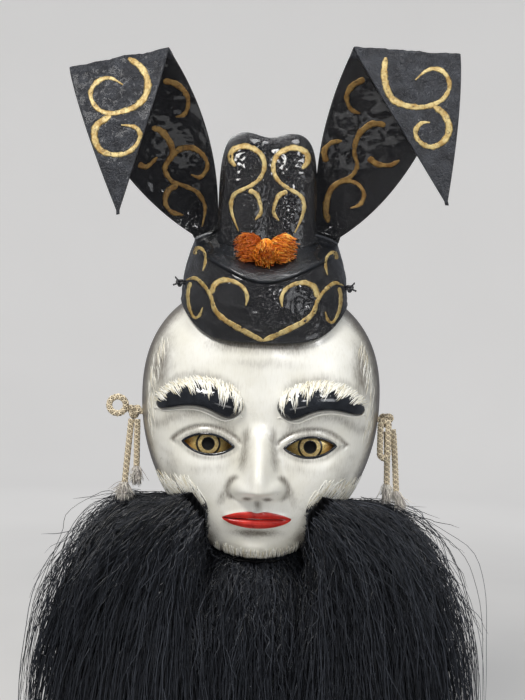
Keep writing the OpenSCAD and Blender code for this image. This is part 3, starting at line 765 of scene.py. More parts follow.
def make_brow(side, name):
    steps, rows = ((150, 50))
    s, t = np.meshgrid(np.linspace(0, 1, steps), np.sin(np.linspace(-1, 1, rows) * math.pi / 2))
    at = brow_point(s, t)
    round_end = np.sqrt(clamp(1 - (2 * s - 1) ** 6))
    crown = 0.8 + BROW_RELIEF * round_end * np.sqrt(clamp(1 - t * t))
    crown += 0.25 * np.sin(s * 95 + t * 3) * ease(0.1, 0.8, t) * round_end
    base = -face_depth(at[..., 0], at[..., 1])
    grids = [np.stack([side * at[..., 0], base - lift, at[..., 1]], -1)
             for lift in (0.3 + crown, 0.3 + 0 * crown)]
    return mesh_piece("brow_" + name, *grid_solid(*grids), BROW, "brow_lacquer", replaces=["brow_" + name])


# ---- strokes laid on a surface
def lay(points, surface, lift, away=None):
    """Points (x, z) put on a surface and lifted off it, seen straight from the front or from the point away;
    None if one of them misses it."""
    out = []
    for x, z in points:
        if away is None:
            start, direction = Vector((x, -400, z)), Vector((0, 1, 0))
        else:
            start = Vector(away)
            direction = (Vector((x, 0, z)) - start).normalized()
        hit, normal, _, _ = surface.ray_cast(start, direction)
        if hit is None:
            return None
        if normal.dot(direction) > 0:
            normal.negate()
        out.append(np.array(hit + normal * lift))
    return np.array(out)


def stroke(points, widths, surface, lift, away=None):
    """Brush stroke: a thin closed ribbon along points (x, z). Its edges are ragged and lie almost on the
    surface, and its underside is sunk into it."""
    edge, sunk = 0.03, -0.35
    points = np.asarray(points, float)
    widths = np.broadcast_to(widths, (len(points),))
    along = unit(np.gradient(points, axis=0))
    across = np.stack([-along[:, 1], along[:, 0]], -1) * widths[:, None] / 2
    one, other = 1 + rng.normal(0, 0.07, (2, len(points), 1))
    rows = []
    for offset, height in ((one * across, edge), (0.6 * across, lift), (-0.6 * across, lift),
                           (-other * across, edge), (0, sunk)):
        rows.append(lay(points + offset, surface, height, away))
        if rows[-1] is None:
            return None
    rings = np.array(rows).transpose(1, 0, 2)
    n, m = rings.shape[:2]
    faces = [(i * m + k, i * m + (k + 1) % m, (i + 1) * m + (k + 1) % m, (i + 1) * m + k)
             for i in range(n - 1) for k in range(m)]
    faces += [tuple(range(m))[::-1], tuple(range((n - 1) * m, n * m))]
    return rings.reshape(-1, 3), faces


def brush(count, width, tip=0.22, swell=0.45):
    """Widths along a stroke that swells, wavers and thins towards its end."""
    t = np.linspace(0, 1, count)
    waver = 0.07 * np.sin(t * count * 0.9) + 0.05 * np.sin(t * count * 2.1 + 1)
    return width * np.clip(np.minimum((t + 0.03) / 0.08, (1.03 - t) / 0.2), tip, 1) * (
        0.82 + 0.4 * swell * np.sin(t * 6.5 + 0.4) + waver * (swell > 0))


def painted(name, curves, surface, material, lift=0.16):
    """One piece from several curves, each (points, width), as seen from the viewer's eye. A curve that would
    leave the surface is drawn in a little, up to a fifth."""
    parts = []
    for points, width in curves:
        path = smooth_path(points, 7)
        for shrink in range(9):
            drawn_in = mix(path, path.mean(axis=0), 0.025 * shrink)
            part = stroke(drawn_in, brush(len(path), width), surface, lift, EYE_POINT)
            if part is not None:
                parts.append(part)
                break
    mesh_piece(name, *join(*parts), material, "cap_lacquer")


def make_face_strokes(surface):
    """Cream brush hairs over the brows, and fine dark and cream hairs where the beard begins."""
    cream, dark = [], []
    taper = np.array([0.4, 0.8, 1, 1, 0.9, 0.75, 0.5, 0.15])

    def add(to, start, end, width, lift=0.12, side=1):
        start, end = start * (side, 1), end * (side, 1)
        way = end - start
        bow = np.array([-way[1], way[0]]) * rng.normal(0, 0.06)
        t = np.linspace(0, 1, 8)[:, None]
        laid = lay(start + way * t + bow * np.sin(t * math.pi), surface, lift)
        if laid is not None:
            to.append((tubes(laid[None], 0.42 * width * taper, 4), rng.random() ** 0.5))

    for side, _ in SIDES:
        for s in np.linspace(0.03, 0.95, 230):
            cluster = 0.5 + 0.5 * math.sin(s * 37 + side)
            s = s + rng.normal(0, 0.012)
            start = brow_point(s + 0.02, 1.08) + (1 + 3 * rng.random(), 0.5 + 4 * rng.random())
            end = brow_point(s - 0.02, 0.85 - (0.3 + 1.1 * cluster) * rng.random() * (1.1 - 0.5 * s))
            add(cream, start, end, 1.15, side=side)
        for _ in range(260):
            s = rng.random()
            x = 45 + 52 * s
            foot = np.array([x, -43 - 14 * s ** 1.5 - 8 * (s < 0.12)])
            tip = foot + np.array([5 + 9 * s, 8 + 13 * rng.random() * (0.5 + s)])
            if rng.random() < 0.7:
                add(cream, tip, foot - (3, 5 * rng.random()), 1.1, 0.3, side)
            for _ in range(3):
                add(dark, foot - (3, 6), mix(foot, tip, 0.75 * rng.random()), 0.9, side=side)
        for _ in range(50):
            z = rng.uniform(10, 95)
            rim = (1 - abs((z - Z_MID) / (FACE_TOP - Z_MID)) ** OUTLINE_POWER) ** (1 / OUTLINE_POWER)
            start = np.array([half_w(z) * rim - 9 - 7 * rng.random(), z])
            add(cream, start, start + (-2, -14), 0.55, side=side)
    for _ in range(150):
        x = rng.uniform(-40, 40)
        foot = np.array([x, -104 + 0.004 * x * x])
        add(cream, foot + (x * 0.05, 7 + 7 * rng.random()), foot - (0, 3), 1.0, 0.3)
        add(dark, foot - (0, 4), foot + (x * 0.04, 7 * rng.random()), 0.9)
        add(dark, foot - (1, 4), foot + (x * 0.04, 5 * rng.random()), 0.9)
    for name, strokes, material in (("cream", cream, BRISTLE), ("dark", dark, TIE)):
        verts, faces, tones = join_toned(strokes)
        mesh_piece(name + "_strokes", verts, faces, material, "painted_paper", tone=tones)


def make_outlines(surface):
    """Ivory line under each brow and black rim round each eye opening."""
    for side, name in SIDES:
        low = brow_point(np.linspace(-0.04, 1.03, 40), -1.22) * (side, 1)
        verts, faces = stroke(low, 1.7, surface, 0.9)
        mesh_piece("brow_line_" + name, verts, faces, BRISTLE, "painted_paper", tone=np.full(len(verts), 0.8))
        ring = eye_outline(side, 72, 0.2)
        line = on_skin(*np.vstack([ring, ring[:2]]).T, 0.35)
        mesh_piece("eye_rim_" + name, *tubes(line[None], 1.15, 8), BROW, "brow_lacquer")


# ---- cap
def cap_height(x, y):
    rise = clamp((y + CAP_FRONT + 1) / (CAP_FRONT + 1)) ** 0.6
    return CAP_FRONT_Z + CAP_RISE * rise - 10 * (np.abs(x) / CAP_HALF) ** 4


def brim(a, inset):
    """Lower edge of the cap band, at the angle a from the middle of the forehead."""
    z = BRIM_Z + 40 * np.sin(a) ** 4
    y = -face_depth((BRIM_HALF - CAP_WALL) * np.sin(a), z, -0.6) - 1
    y = y - (CAP_WALL - inset) * (0.3 + 0.7 * np.cos(a))
    return np.stack([(BRIM_HALF - inset) * np.sin(a), y, z], -1)


def cap_edge(a, inset):
    k = power_norm(np.sin(a), np.cos(a), OUTLINE_POWER)
    x, y = (CAP_HALF - inset) * np.sin(a) / k, -(CAP_FRONT - inset) * np.cos(a) / k
    return np.stack([x, y, cap_height(x, y) - CAP_WALL - 0.5], -1)


def band_point(a, w, inset=0.0):
    """Point of the cap band: w is 0 at the brim and 1 at the cap's top."""
    out = CAP_BULGE * np.sin(math.pi * w)
    p = mix(brim(a, inset), cap_edge(a, inset), np.asarray(w)[..., None])
    return p + np.stack([out * np.sin(a), -out * np.cos(a), 0 * out], -1)


def make_cap():
    """Band with a hem and crinkled outside, and the smoother top."""
    steps, rows = ((200, 44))
    a, w = np.meshgrid(np.linspace(-math.pi / 2, math.pi / 2, steps), np.linspace(0, 1, rows))
    front, back = band_point(a, w), band_point(a, w, CAP_WALL)
    hem = 0.9 * hill(w - 0.03, 0.035)
    rough = crinkle(front, 8, 1.3, 1) * np.sin(math.pi * w) ** 0.5 * np.cos(a) ** 0.3 + hem
    push = np.stack([np.sin(a), -np.cos(a), 0 * a], -1)
    band = mesh_piece("cap_band_skin", *grid_solid(front + push * np.clip(rough, -0.8, 1.2)[..., None], back),
                      CAP, "cap_lacquer", replaces=["cap_band"])
    n = 130
    u, v = np.meshgrid(np.linspace(-1, 1, n), np.linspace(-1, 0, n))
    dx, dy = on_disc(u, v, OUTLINE_POWER)
    x, y = dx * CAP_HALF, dy * CAP_FRONT
    upper = np.stack([x, y, cap_height(x, y)], -1)
    lower = upper - (0, 0, CAP_WALL)
    inner = clamp(1 - power_norm(dx, dy, OUTLINE_POWER)) ** 0.4
    upper[..., 2] += crinkle(upper, 16, 0.7, 2) * inner
    top = mesh_piece("cap_top_skin", *grid_solid(lower, upper), CAP_SMOOTH, "cap_lacquer", replaces=["cap_top"])
    return band, top


def make_crest():
    """Two hollow halves that meet at a seam; the front one is deeper and has a groove down its middle."""
    n = 130
    u, v = np.meshgrid(np.linspace(-1, 1, n), np.linspace(0, 1, n))
    dx, dz = on_disc(u, v, 5)
    t = np.minimum(1, power_norm(dx, dz, 5))
    out = []
    for part, swell, direction in (("front", CREST_SWELL, -1), ("back", CREST_BACK_SWELL, 1)):
        grids = []
        for inset in (0, CAP_WALL):
            x = dx * (CREST_HALF - inset)
            groove = 5 * hill(x, 8) * (1 - t ** 4)
            depth = 0.15 + (swell - inset * 0.9) * (1 - t ** 3) ** 0.5 - (groove if direction < 0 else 0)
            y = CREST_SEAM_Y + direction * depth
            base = cap_height(x, y) + 0.3
            height = CREST_H - 5 * hill(x, 14) - inset - (base - cap_height(0, CREST_SEAM_Y))
            grids.append(np.stack([x, y, base + dz * height], -1))
        rough = crinkle(grids[0], 9, 0.9, 3 if direction < 0 else 4) * clamp(1 - t ** 6)
        grids[0][..., 1] += direction * np.clip(rough, -0.9, 1.2)
        out.append(mesh_piece("crest_%s_skin" % part, *grid_solid(*grids), CAP, "cap_lacquer",
                              replaces=["crest_" + part]))
    return out[0]


# ---- wings
def wing_leaf(shape, u, v):
    """Point of a wing's upright leaf: u is 0 to 1 across it, v is 0 at the cap and 1 at the fold."""
    a, b = bend(*shape[0], v), bend(*shape[1], v)
    p = mix(a, b, u[..., None])
    y = WING_BASE_Y - WING_LEAN * v ** 1.6 + 7 * np.sin(math.pi * u) * np.sin(math.pi * v)
    z = np.where(v == 0, cap_height(p[..., 0], y) + WING_T / 2 + 0.3, p[..., 1])
    return np.stack([p[..., 0], y, z], -1)


def wing_flap(shape, u, v):
    """Point of the flap that hangs before the leaf: v is 0 at the fold and 1 at the tip."""
    a, b, tip = (np.array(p, float) for p in (shape[0][2], shape[1][2], shape[2]))
    w = np.maximum(1 - v ** 1.15, 0.03)[..., None]
    p = mix((a + b) / 2, tip, v[..., None]) + (mix(a, b, u[..., None]) - (a + b) / 2) * w
    y = mix(WING_FOLD_Y, WING_TIP_Y, v) - 6 * np.sin(math.pi * v)
    return np.stack([p[..., 0], y, p[..., 1]], -1)


def make_wing(side, name):
    """Leaf and flap as one crinkled sheet; its front turns outward over the fold."""
    leaf, flap, across = ((90, 80, 60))
    shape = WINGS[name]
    vs = np.concatenate([np.arange(leaf + 1) / leaf, 1 + np.arange(1, flap + 1) / flap])
    u, v = np.meshgrid(np.linspace(0, 1, across + 1)[::side], vs)
    sheet = np.where((v <= 1)[..., None], wing_leaf(shape, u, np.minimum(v, 1)),
                     wing_flap(shape, u, clamp(v - 1)))
    turn = clamp((v - 0.95) / 0.07) * math.pi
    outer = np.stack([0 * v, np.cos(turn), 1.1 * np.sin(turn)], -1) * WING_T / 2
    edge = (np.sin(math.pi * u) ** 0.35) * clamp(v / 0.1) * clamp((2 - v) / 0.1)
    rough, soft = (crinkle(sheet, scale, height, seed + side)[..., None] * edge[..., None] * unit(outer)
                   for scale, height, seed in ((8, 1.1, 5), (34, 1.4, 8)))
    front, back = sheet + outer + rough + soft, sheet - outer + 0.7 * rough + soft
    obj = mesh_piece("wing_%s_skin" % name, *grid_solid(front, back), CAP, "cap_lacquer",
                     replaces=["wing_" + name])
    # The flap's front faces take the lighter lacquer: painted light.
    obj.data.materials.append(LIT_FLAP_LACQUER)
    fold_y, fold_z = WING_FOLD_Y * MM, shape[0][2][1] * MM
    obj.data.polygons.foreach_set("material_index", [
        p.center.y < fold_y + 0.004 and p.normal.y < 0.35 and p.center.z < fold_z + 0.02
        for p in obj.data.polygons])
    return obj


# ---- scroll strokes, seen from the front
def make_scrolls(cap, top, crest, wings):
    """Gold scrolls, as curves (x, z) seen from EYE_POINT: mirrored on the cap and the crest, single on the
    wings."""
    stem = [(0, 90), (19, 99), (37, 109), (46, 118), (50, 130), (57, 140), (65, 146), (73, 144)]
    loop = [(69, 142), (71, 133), (70, 121), (65, 110), (60, 111), (57, 119)]
    curl = [(49, 132), (47, 140), (39, 145), (29, 144), (20, 139), (16, 131), (17, 122)]
    comma = [(66, 168), (65, 173), (61, 174), (57, 170), (56, 162), (58, 153)]
    hook = [(31, 251), (36, 258), (34, 266), (24, 270), (15, 268), (7, 262), (4, 252), (7, 242), (14, 235),
            (23, 230), (31, 225), (34, 216), (32, 205), (26, 191)]
    branch = [(18, 229), (11, 226), (7, 218), (6, 209), (11, 202)]
    for name, curves, surface in (("band", ((stem, 5.4), (loop, 3.8), (curl, 5.4)), surface_of(cap)),
                                  ("top", ((comma, 3.8),), surface_of(cap, top)),
                                  ("crest", ((hook, 5.6), (branch, 4.8)), surface_of(crest))):
        both = [(points, width) for curve, width in curves for points in (curve, [(-x, z) for x, z in curve])]
        painted("scroll_" + name, both, surface, GOLD)
    flaps = {
        "left": [[(-134, 348), (-122, 340), (-115, 326), (-118, 311), (-130, 301), (-149, 296), (-162, 301),
                  (-168, 313), (-163, 324), (-151, 329), (-138, 323)],
                 [(-149, 296), (-163, 286), (-165, 273), (-158, 260), (-142, 256), (-127, 261), (-118, 275),
                  (-123, 285), (-138, 287)]],
        "right": [[(105, 357), (104, 343), (106, 331), (113, 318), (129, 312), (146, 313), (160, 321), (165, 334),
                   (158, 346), (145, 347), (133, 337)],
                  [(151, 313), (161, 306), (166, 294), (163, 283), (154, 276), (145, 276), (137, 282),
                   (135, 290), (140, 297), (148, 298)]],
    }
    leaves = {
        "left": [[(-101, 328), (-90, 326), (-80, 318), (-77, 307), (-80, 298), (-88, 295)],
                 [(-110, 284), (-102, 282), (-93, 272), (-90, 261), (-96, 249), (-95, 242), (-89, 235),
                  (-77, 231), (-65, 225), (-58, 212), (-60, 194)],
                 [(-90, 258), (-85, 264), (-73, 267), (-62, 261), (-57, 250), (-63, 240), (-72, 242)],
                 [(-84, 232), (-93, 226), (-95, 215), (-89, 207), (-78, 204)],
                 [(-121, 250), (-113, 248), (-104, 257)]],
        "right": [[(86, 336), (75, 330), (70, 319), (74, 308), (83, 304)],
                  [(107, 294), (95, 295), (85, 288), (80, 278), (79, 267), (82, 255), (76, 245), (66, 242)],
                  [(53, 258), (51, 268), (57, 276), (67, 278)],
                  [(57, 202), (54, 215), (58, 232), (69, 241), (82, 239), (89, 230), (86, 220), (77, 216)],
                  [(92, 263), (100, 258), (112, 257), (121, 262)]],
    }
    for name, wing in wings.items():
        flap = surface_of(wing, keep=lambda y: y < WING_FOLD_Y + 1.5)
        leaf = surface_of(wing, keep=lambda y: y > WING_FOLD_Y - 1)
        painted("scroll_flap_" + name, [(points, 6.6) for points in flaps[name]], flap, GOLD, 0.25)
        # The leaves' scrolls take the darker gold: painted shade behind the flaps.
        painted("scroll_leaf_" + name, [(points, 6.0) for points in leaves[name]], leaf, GOLD_SHADED, 0.25)


# ---- braid, knots and cords
def braid(path, radius, closed=False):
    """Eight strands that pass over and under each other round a core; gives (verts, faces) and each point's
    tone."""
    path = np.asarray(path, float)
    step = np.linalg.norm(np.diff(path, axis=0), axis=1)
    length = np.concatenate([[0], np.cumsum(step)])
    count = max(8, int(length[-1] / (0.9)))
    s = np.linspace(0, length[-1], count)
    mid = np.stack([np.interp(s, length, path[:, k]) for k in range(3)], -1)
    along = unit(np.gradient(mid, axis=0))
    if closed:
        along[0] = along[-1] = unit(along[0] + along[-1])
    ref = np.array([0.2, 1.0, 0.1]) if abs(along[:, 1]).mean() < 0.8 else np.array([1.0, 0.1, 0.2])
    side = unit(np.cross(along, ref))
    up = np.cross(along, side)
    turns = max(1, round(length[-1] / BRAID_PITCH)) if closed else length[-1] / BRAID_PITCH
    parts = []
    for way in (1, -1):
        for k in range(4):
            angle = way * 2 * math.pi * turns * s / length[-1] + 2 * math.pi * k / 4
            over = way * np.cos(4 * 2 * math.pi * turns * s / length[-1])
            r = radius * (0.70 + 0.08 * over)
            line = mid + side * (r * np.cos(angle))[:, None] + up * (r * np.sin(angle))[:, None]
            parts.append((tubes(line[None], radius * 0.20, 5), 1.0 if k % 2 else 0.52))
    # The core takes the darkest tone: painted shade in the gaps between the strands.
    parts.append((tubes(mid[None], radius * 0.60, 8), 0.0))
    verts, faces, tones = join_toned(parts)
    return (verts, faces), tones


def knot_curve(count, depth):
    """Closed trefoil knot that reaches 3 from its middle."""
    t = np.linspace(0, 2 * math.pi, count)
    return np.stack([np.sin(t) + 2 * np.sin(2 * t), -np.sin(3 * t) * depth, np.cos(t) - 2 * np.cos(2 * t)], -1)


def arc(start, end, count, centre, radius):
    """Points of an arc in a plane of constant y, by its angles from +x."""
    t = np.linspace(start, end, count)
    return np.array(centre) + radius * np.stack([np.cos(t), 0 * t, np.sin(t)], -1)


# route of each free tail, then how far its frayed end leans in x and how wide it fans
CORDS = {
    "left_outer": (((-117, -20, 14.6), (-117.5, -21, 6), (-118.3, -22, -6), (-119.2, -23, -20), (-120, -24, -34),
                    (-120.4, -24.5, -42)), -0.10, 0.34),
    "left_inner": (((-111.4, -22, 14.6), (-111, -23, 6), (-110.8, -24, -6), (-110.4, -25, -18),
                    (-110.2, -25.5, -27)), 0.0, 0.18),
    "right_outer": (((121, -20, 13.2), (122, -21, 5), (123, -22, -7), (124, -23, -21), (124.8, -24, -34),
                     (125.4, -24.5, -42)), 0.33, 0.16),
    "right_inner": (((115.2, -22, 11.2), (115.6, -23, 3), (116, -24, -9), (116.3, -25, -22),
                     (116.5, -25.5, -36)), 0.0, 0.18),
}
FRAY_LENGTH = 17


def frayed_end(name, tip, lean, fan, body):
    """The untwisted threads at a cord's end."""
    count = 240
    start = tip + rng.normal(0, 1.1, (count, 3)) * (1, 1, 0.2)
    ways = unit(rng.normal(0, fan, (count, 3)) + (lean, 0, -1))
    t = np.linspace(0, 1, 7)[None, :, None]
    curl = rng.normal(0, 1.2, (count, 1, 3)) * np.sin(t * math.pi * 1.3)
    paths = start[:, None] + ways[:, None] * t * (FRAY_LENGTH * rng.uniform(0.6, 1.05, (count, 1, 1))) + curl
    verts, faces = tubes(paths, np.array([0.32, 0.34, 0.34, 0.32, 0.3, 0.26, 0.14]), 3)
    return mesh_piece(name + "_skin", verts, faces, FRAY, "frayed_cord", body, [name],
                      np.repeat(rng.random(count), len(verts) // count))


def make_cords():
    """The four free tails with their ends, the knot with its loop on each side, and the cord behind the face."""
    for name, (route, lean, fan) in CORDS.items():
        body = "cords_" + name.split("_")[0]
        path = smooth_path(route, 4)
        (verts, faces), tones = braid(path, CORD_R)
        end = frayed_end("cord_end_" + name, path[-1], lean, fan, body)
        cord = mesh_piece("cord_%s_braid" % name, verts, faces, BRAID, "braided_cord", body, ["cord_" + name],
                          tones)
    ring_r, loop_r, loop_drop = 7.6, 3.6, 26
    ring = arc(0, 2 * math.pi, 50, (-130, HOLE_Y - 2.0, 27), ring_r)
    over, under = arc(0, math.pi, 16, (0, 0, 0), loop_r), arc(0, math.pi, 16, (0, 0, loop_drop), loop_r)
    loop = np.vstack([over, under * (-1, 1, -1), over[:1]]) + (112, HOLE_Y - 14, HOLE_Z - 4)
    loop[:, 1] += 0.07 * (loop[:, 2] - HOLE_Z)
    for (side, name), closed in zip(SIDES, (ring, loop)):
        knot = np.array((side * KNOT_X, HOLE_Y, HOLE_Z))
        stem = np.array([(side * (KNOT_X - 8), HOLE_Y, HOLE_Z), knot])
        verts, faces, tones = join_toned([braid(knot + knot_curve(60, 1.1) * 6.2 / 3.6, CORD_R * 0.8, closed=True),
                                          braid(closed, CORD_R, closed=True), braid(stem, CORD_R)])
        mesh_piece("cord_knot_%s_braid" % name, verts, faces, BRAID, "braided_cord", ROOT, ["cord_knot_" + name],
                   tones)
    half = smooth_path([(-107.5, -18, 22), (-100, -18, 22.6), (-80, -17, 32), (-40, -13, 53), (-9, -9, 67.5),
                        (0, -9, 69.5)], 5)
    (verts, faces), tones = braid(np.vstack([half, (half * (-1, 1, 1))[::-1][1:]]), CORD_R)
    mesh_piece("hanger_braid", verts, faces, BRAID, "braided_cord", ROOT, ["hanger_cord"], tones)


# ---- tassels and ties
def make_tassels():
    """Three bundles of silk threads, each bound near its top, and the wound ball they hang from."""
    length, ball_r, core_r = 20, 5.2, 4.6
    for name, yaw, tilt, width in (("left", -58, 77, 9.5), ("middle", 0, 60, 8), ("right", 58, 77, 9.5)):
        yaw, tilt = math.radians(yaw), math.radians(tilt)
        direction = np.array([math.sin(tilt) * math.sin(yaw), -math.sin(tilt) * math.cos(yaw), -math.cos(tilt)])
        count = 800
        fan = unit(rng.normal(0, 1, (count, 3)))
        fan -= np.outer(fan @ direction, direction)
        reach = rng.random(count)[:, None] ** 0.4
        t = np.linspace(0, 1, 8)[None, :, None]
        start = TASSEL_AT + direction * 4.5 + fan * 1.2
        end = TASSEL_AT + direction * (5 + length * rng.uniform(0.62, 1.1, (count, 1)))
        end = end + fan * reach * width * 1.35
        paths = mix(start[:, None], end[:, None], t)
        paths += fan[:, None] * reach[:, None] * width * 0.55 * np.sin(t * math.pi)
        paths += rng.normal(0, 0.9, (count, 1, 3)) * np.sin(t * 9 + rng.random((count, 1, 1)) * 6) * t
        paths[..., 2] = np.maximum(paths[..., 2], cap_height(paths[..., 0], paths[..., 1]) + 1.2)
        threads = tubes(paths, np.array([0.34] * 6 + [0.3, 0.2]), 3)
        tone = np.repeat(rng.random(count), len(threads[0]) // count) * (0.62 if name == "left" else 1.0)
        wrap_t = np.linspace(0, 1, 60)
        side = unit(np.cross(direction, (0, 0, 1.0)))
        up = np.cross(direction, side)
        coil = (TASSEL_AT + direction * 7.0) + np.outer(wrap_t * 2.4, direction) + 2.3 * (
            np.outer(np.cos(wrap_t * 25), side) + np.outer(np.sin(wrap_t * 25), up))
        verts, faces, tones = join_toned([(threads, tone), (tubes(coil[None], 0.42, 5), 0.9)])
        mesh_piece("tassel_%s_silk" % name, verts, faces, SILK, "tassel_silk", "tassels", ["tassel_" + name],
                   tones)
    parts = []
    for turn in range(5):
        for lift in (-2.0, 0.0, 2.0):
            x, y, z = arc(0, 2 * math.pi, 60, (0, lift, 0), math.sqrt(ball_r ** 2 - lift ** 2)).T
            ring = TASSEL_AT + np.stack([*turned(x, y, turn * math.pi / 5), z], -1)
            parts.append((tubes(ring[None], 0.62, 5), 0.35 + 0.6 * rng.random()))
    t = np.linspace(0, math.pi, 12)
    core = TASSEL_AT + np.stack([0 * t, 0 * t, -core_r * np.cos(t)], -1)
    parts.append((tubes(core[None], core_r * np.sin(np.clip(t, 0.12, math.pi - 0.12)), 16), 0.2))
    verts, faces, tones = join_toned(parts)
    mesh_piece("tassel_knot_silk", verts, faces, SILK, "tassel_silk", ROOT, ["tassel_knot"], tones)


def make_ties():
    """Small black twisted knots at the cap's sides, with two cut ends each."""
    a = np.array(math.radians(74))
    p = mix(brim(a, 0), cap_edge(a, 0), 0.35) + (CAP_BULGE * 0.85 + 3.4, -1, 0)
    parts = [tubes((p + knot_curve(48, 1.2) * 0.95)[None], 1.15, 8), tubes(np.array([[p - (5, 0, 0), p]]), 1.3, 8)]
    for direction in ((0.6, -0.2, 0.7), (0.85, -0.3, -0.35)):
        line = p + np.outer(np.linspace(1, 6.5, 8), unit(np.array(direction)))
        twist = np.linspace(0, 9, 8)
        for phase in (0, math.pi):
            strand = line + 0.45 * np.stack([0 * twist, np.cos(twist + phase), np.sin(twist + phase)], -1)
            parts.append(tubes(strand[None], 0.55, 6))
    verts, faces = join(*parts)
    for side, name in SIDES:
        mesh_piece("cap_tie_%s_cord" % name, verts * (side, 1, 1), [f[::side] for f in faces], TIE, "tie_cord",
                   ROOT, ["cap_tie_" + name], 0.5 + 0.5 * np.sin(verts[:, 2] * 3))


# ---- hair
CORE_TOP_Z = -119.0                                  # where the side cores' upper part ends
BEARD_LAYERS = (("front", 0.0, 2600), ("middle", 0.3, 2600), ("back", 0.85, 1700))   # depth and strands a side


def foot_of(x):
    """Where the beard ends: higher at its sides."""
    return BEARD_FOOT + 58 * (np.abs(x) / BEARD_HALF) ** 3


def cubic(p, q, r, s, t):
    """Curves from points p to s, pulled towards q and then r."""
    p, q, r, s = (v[:, None] for v in (p, q, r, s))
    return p * (1 - t) ** 3 + q * 3 * t * (1 - t) ** 2 + r * 3 * t * t * (1 - t) + s * t ** 3


def hair(name, roots, pulls, falls, ends, short=False):
    """Strands from roots to ends, each pulled towards two points on the way.
    Short ones follow a part of the way only and break out of the mass."""
    count, rings, hair_r, stray_share = len(roots), 16 if short else 24, 0.32, 0.12
    along = np.linspace(0, 1, rings)[None, :, None]
    t = along
    if short:
        t = rng.uniform(0.02, 0.62, (count, 1, 1)) + rng.uniform(0.16, 0.36, (count, 1, 1)) * along
    away = np.sign(roots[:, :1] + 1e-6)
    stray = (rng.random(count) < stray_share)[:, None] * rng.normal(0, 13, (count, 3)) * (1, 0.5, 0.7)
    stray[:, :1] = np.abs(stray[:, :1]) * away
    paths = cubic(roots, pulls + stray, falls + 1.5 * stray, ends + 1.2 * stray, t)
    if short:
        flick = rng.normal(0, 1, (count, 1, 3)) * (10, 7, 9)
        flick[..., 0] += 3 * away
        paths += flick * along ** 1.5 + rng.normal(0, 2.5, (count, 1, 3))

    def sway(size, low, high, group):
        """Waves of about this size; strands of one group sway alike."""
        n = group.max() + 1
        size, speed = rng.normal(0, size, (n, 1, 3)), rng.uniform(low, high, (n, 1, 1))
        phase = 6 * rng.random((n, 1, 1))
        return size[group] * np.sin(t * speed[group] + phase[group])

    lock, own = rng.integers(0, max(1, count // 9), count), np.arange(count)
    wave = sway(3.0, 3, 8, lock) + sway(1.1, 14, 30, lock) + sway(2.4, 3, 9, own) + sway(1.2, 18, 48, own)
    if short:
        wave += sway(1.1, 60, 110, own)
    paths += wave * clamp(t * 4) * (1, 0.6, 0.35)
    edge, most = np.abs(paths[..., 0]) - BEARD_HALF + 10, 24       # hairs past the sides are drawn in
    paths[..., 0] -= np.sign(paths[..., 0]) * np.where(edge > 0, edge - most * np.tanh(edge / most), 0)
    nearest_wall, lowest = -2.5, BEARD_FOOT - 9
    paths[..., 1] = np.minimum(paths[..., 1], nearest_wall)
    paths[..., 2] = np.maximum(paths[..., 2], lowest)
    taper = hair_r * np.concatenate([[0.7], np.full(rings - 5, 1.0), [0.9, 0.75, 0.5, 0.25]])
    verts, quads, caps = tube_arrays(paths, taper[None] * rng.uniform(0.7, 1.2, (count, 1)), 3)
    tone = np.repeat(clamp(rng.normal(0.40, 0.24, count)), rings * 3)
    obj = mesh_piece(name, verts, [quads, caps], HAIR, "hair", None, (), tone)
    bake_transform(obj)


def spread_out(x, u):
    """Distance from the middle, for hair that spreads on its way down: u is 0 at the top, 1 from half way down."""
    return np.where(x < 42.5, x, mix(42.5, x, 0.86 + 0.14 * u))


def root_start(s):
    """Highest roots (x, z): s is 0 beside the mouth and 1 on the cheek's outer edge."""
    near = mix(np.array([44.0, -58]), np.array([56.0, -42]), (s / 0.4)[:, None])
    far = mix(np.array([56.0, -42]), np.array([99.0, -58]), ((s - 0.4) / 0.6)[:, None])
    return np.where((s < 0.4)[:, None], near, far)


def side_hair(side, count, layer):
    """Roots on the cheek and jaw of one side; layer 0 lies in front, 1 at the back."""
    s, v = rng.random(count), rng.random(count) ** 1.2
    top = root_start(s)
    jaw = -108 + 46 * clamp((top[:, 0] - 40) / 60) ** 2
    x, z = top[:, 0] + 1.5 * rng.normal(size=count), mix(top[:, 1], np.minimum(jaw, top[:, 1] - 1), v)
    depth = np.maximum(face_depth(x, z) - 0.5, 8)
    roots = np.stack([x, -depth, z], -1)
    wide = np.clip((1 - v) ** 0.8 * (0.38 + 0.62 * s) + rng.normal(0, 0.11, count), -0.05, 1.06)
    x_end = 42 + (BEARD_HALF - 40) * wide
    level = np.clip(rng.normal(layer, 0.35, count), -0.4, 1.3)
    y_end = BEARD_Y - 18 + 36 * level
    z_end = foot_of(x_end) + np.abs(rng.normal(0, 30, count))
    ends = np.stack([x_end, y_end, np.maximum(z_end, foot_of(x_end))], -1)
    lean = np.radians(mix(28, 84, s) * (1 - 0.35 * v)) + rng.normal(0, 0.2, count)
    reach = 24 + 27 * s + rng.normal(0, 5, count)
    pulls = roots + np.stack([np.sin(lean) * reach, -9 + 12 * level, -np.cos(lean) * reach + 5], -1)
    falls = np.stack([mix(x, spread_out(x_end, 0), 0.97) + 2, y_end - 9 + 14 * level,
                      mix(-96, -128, v) + rng.normal(0, 8, count)], -1)
    return [p * (side, 1, 1) for p in (roots, pulls, falls, ends)]


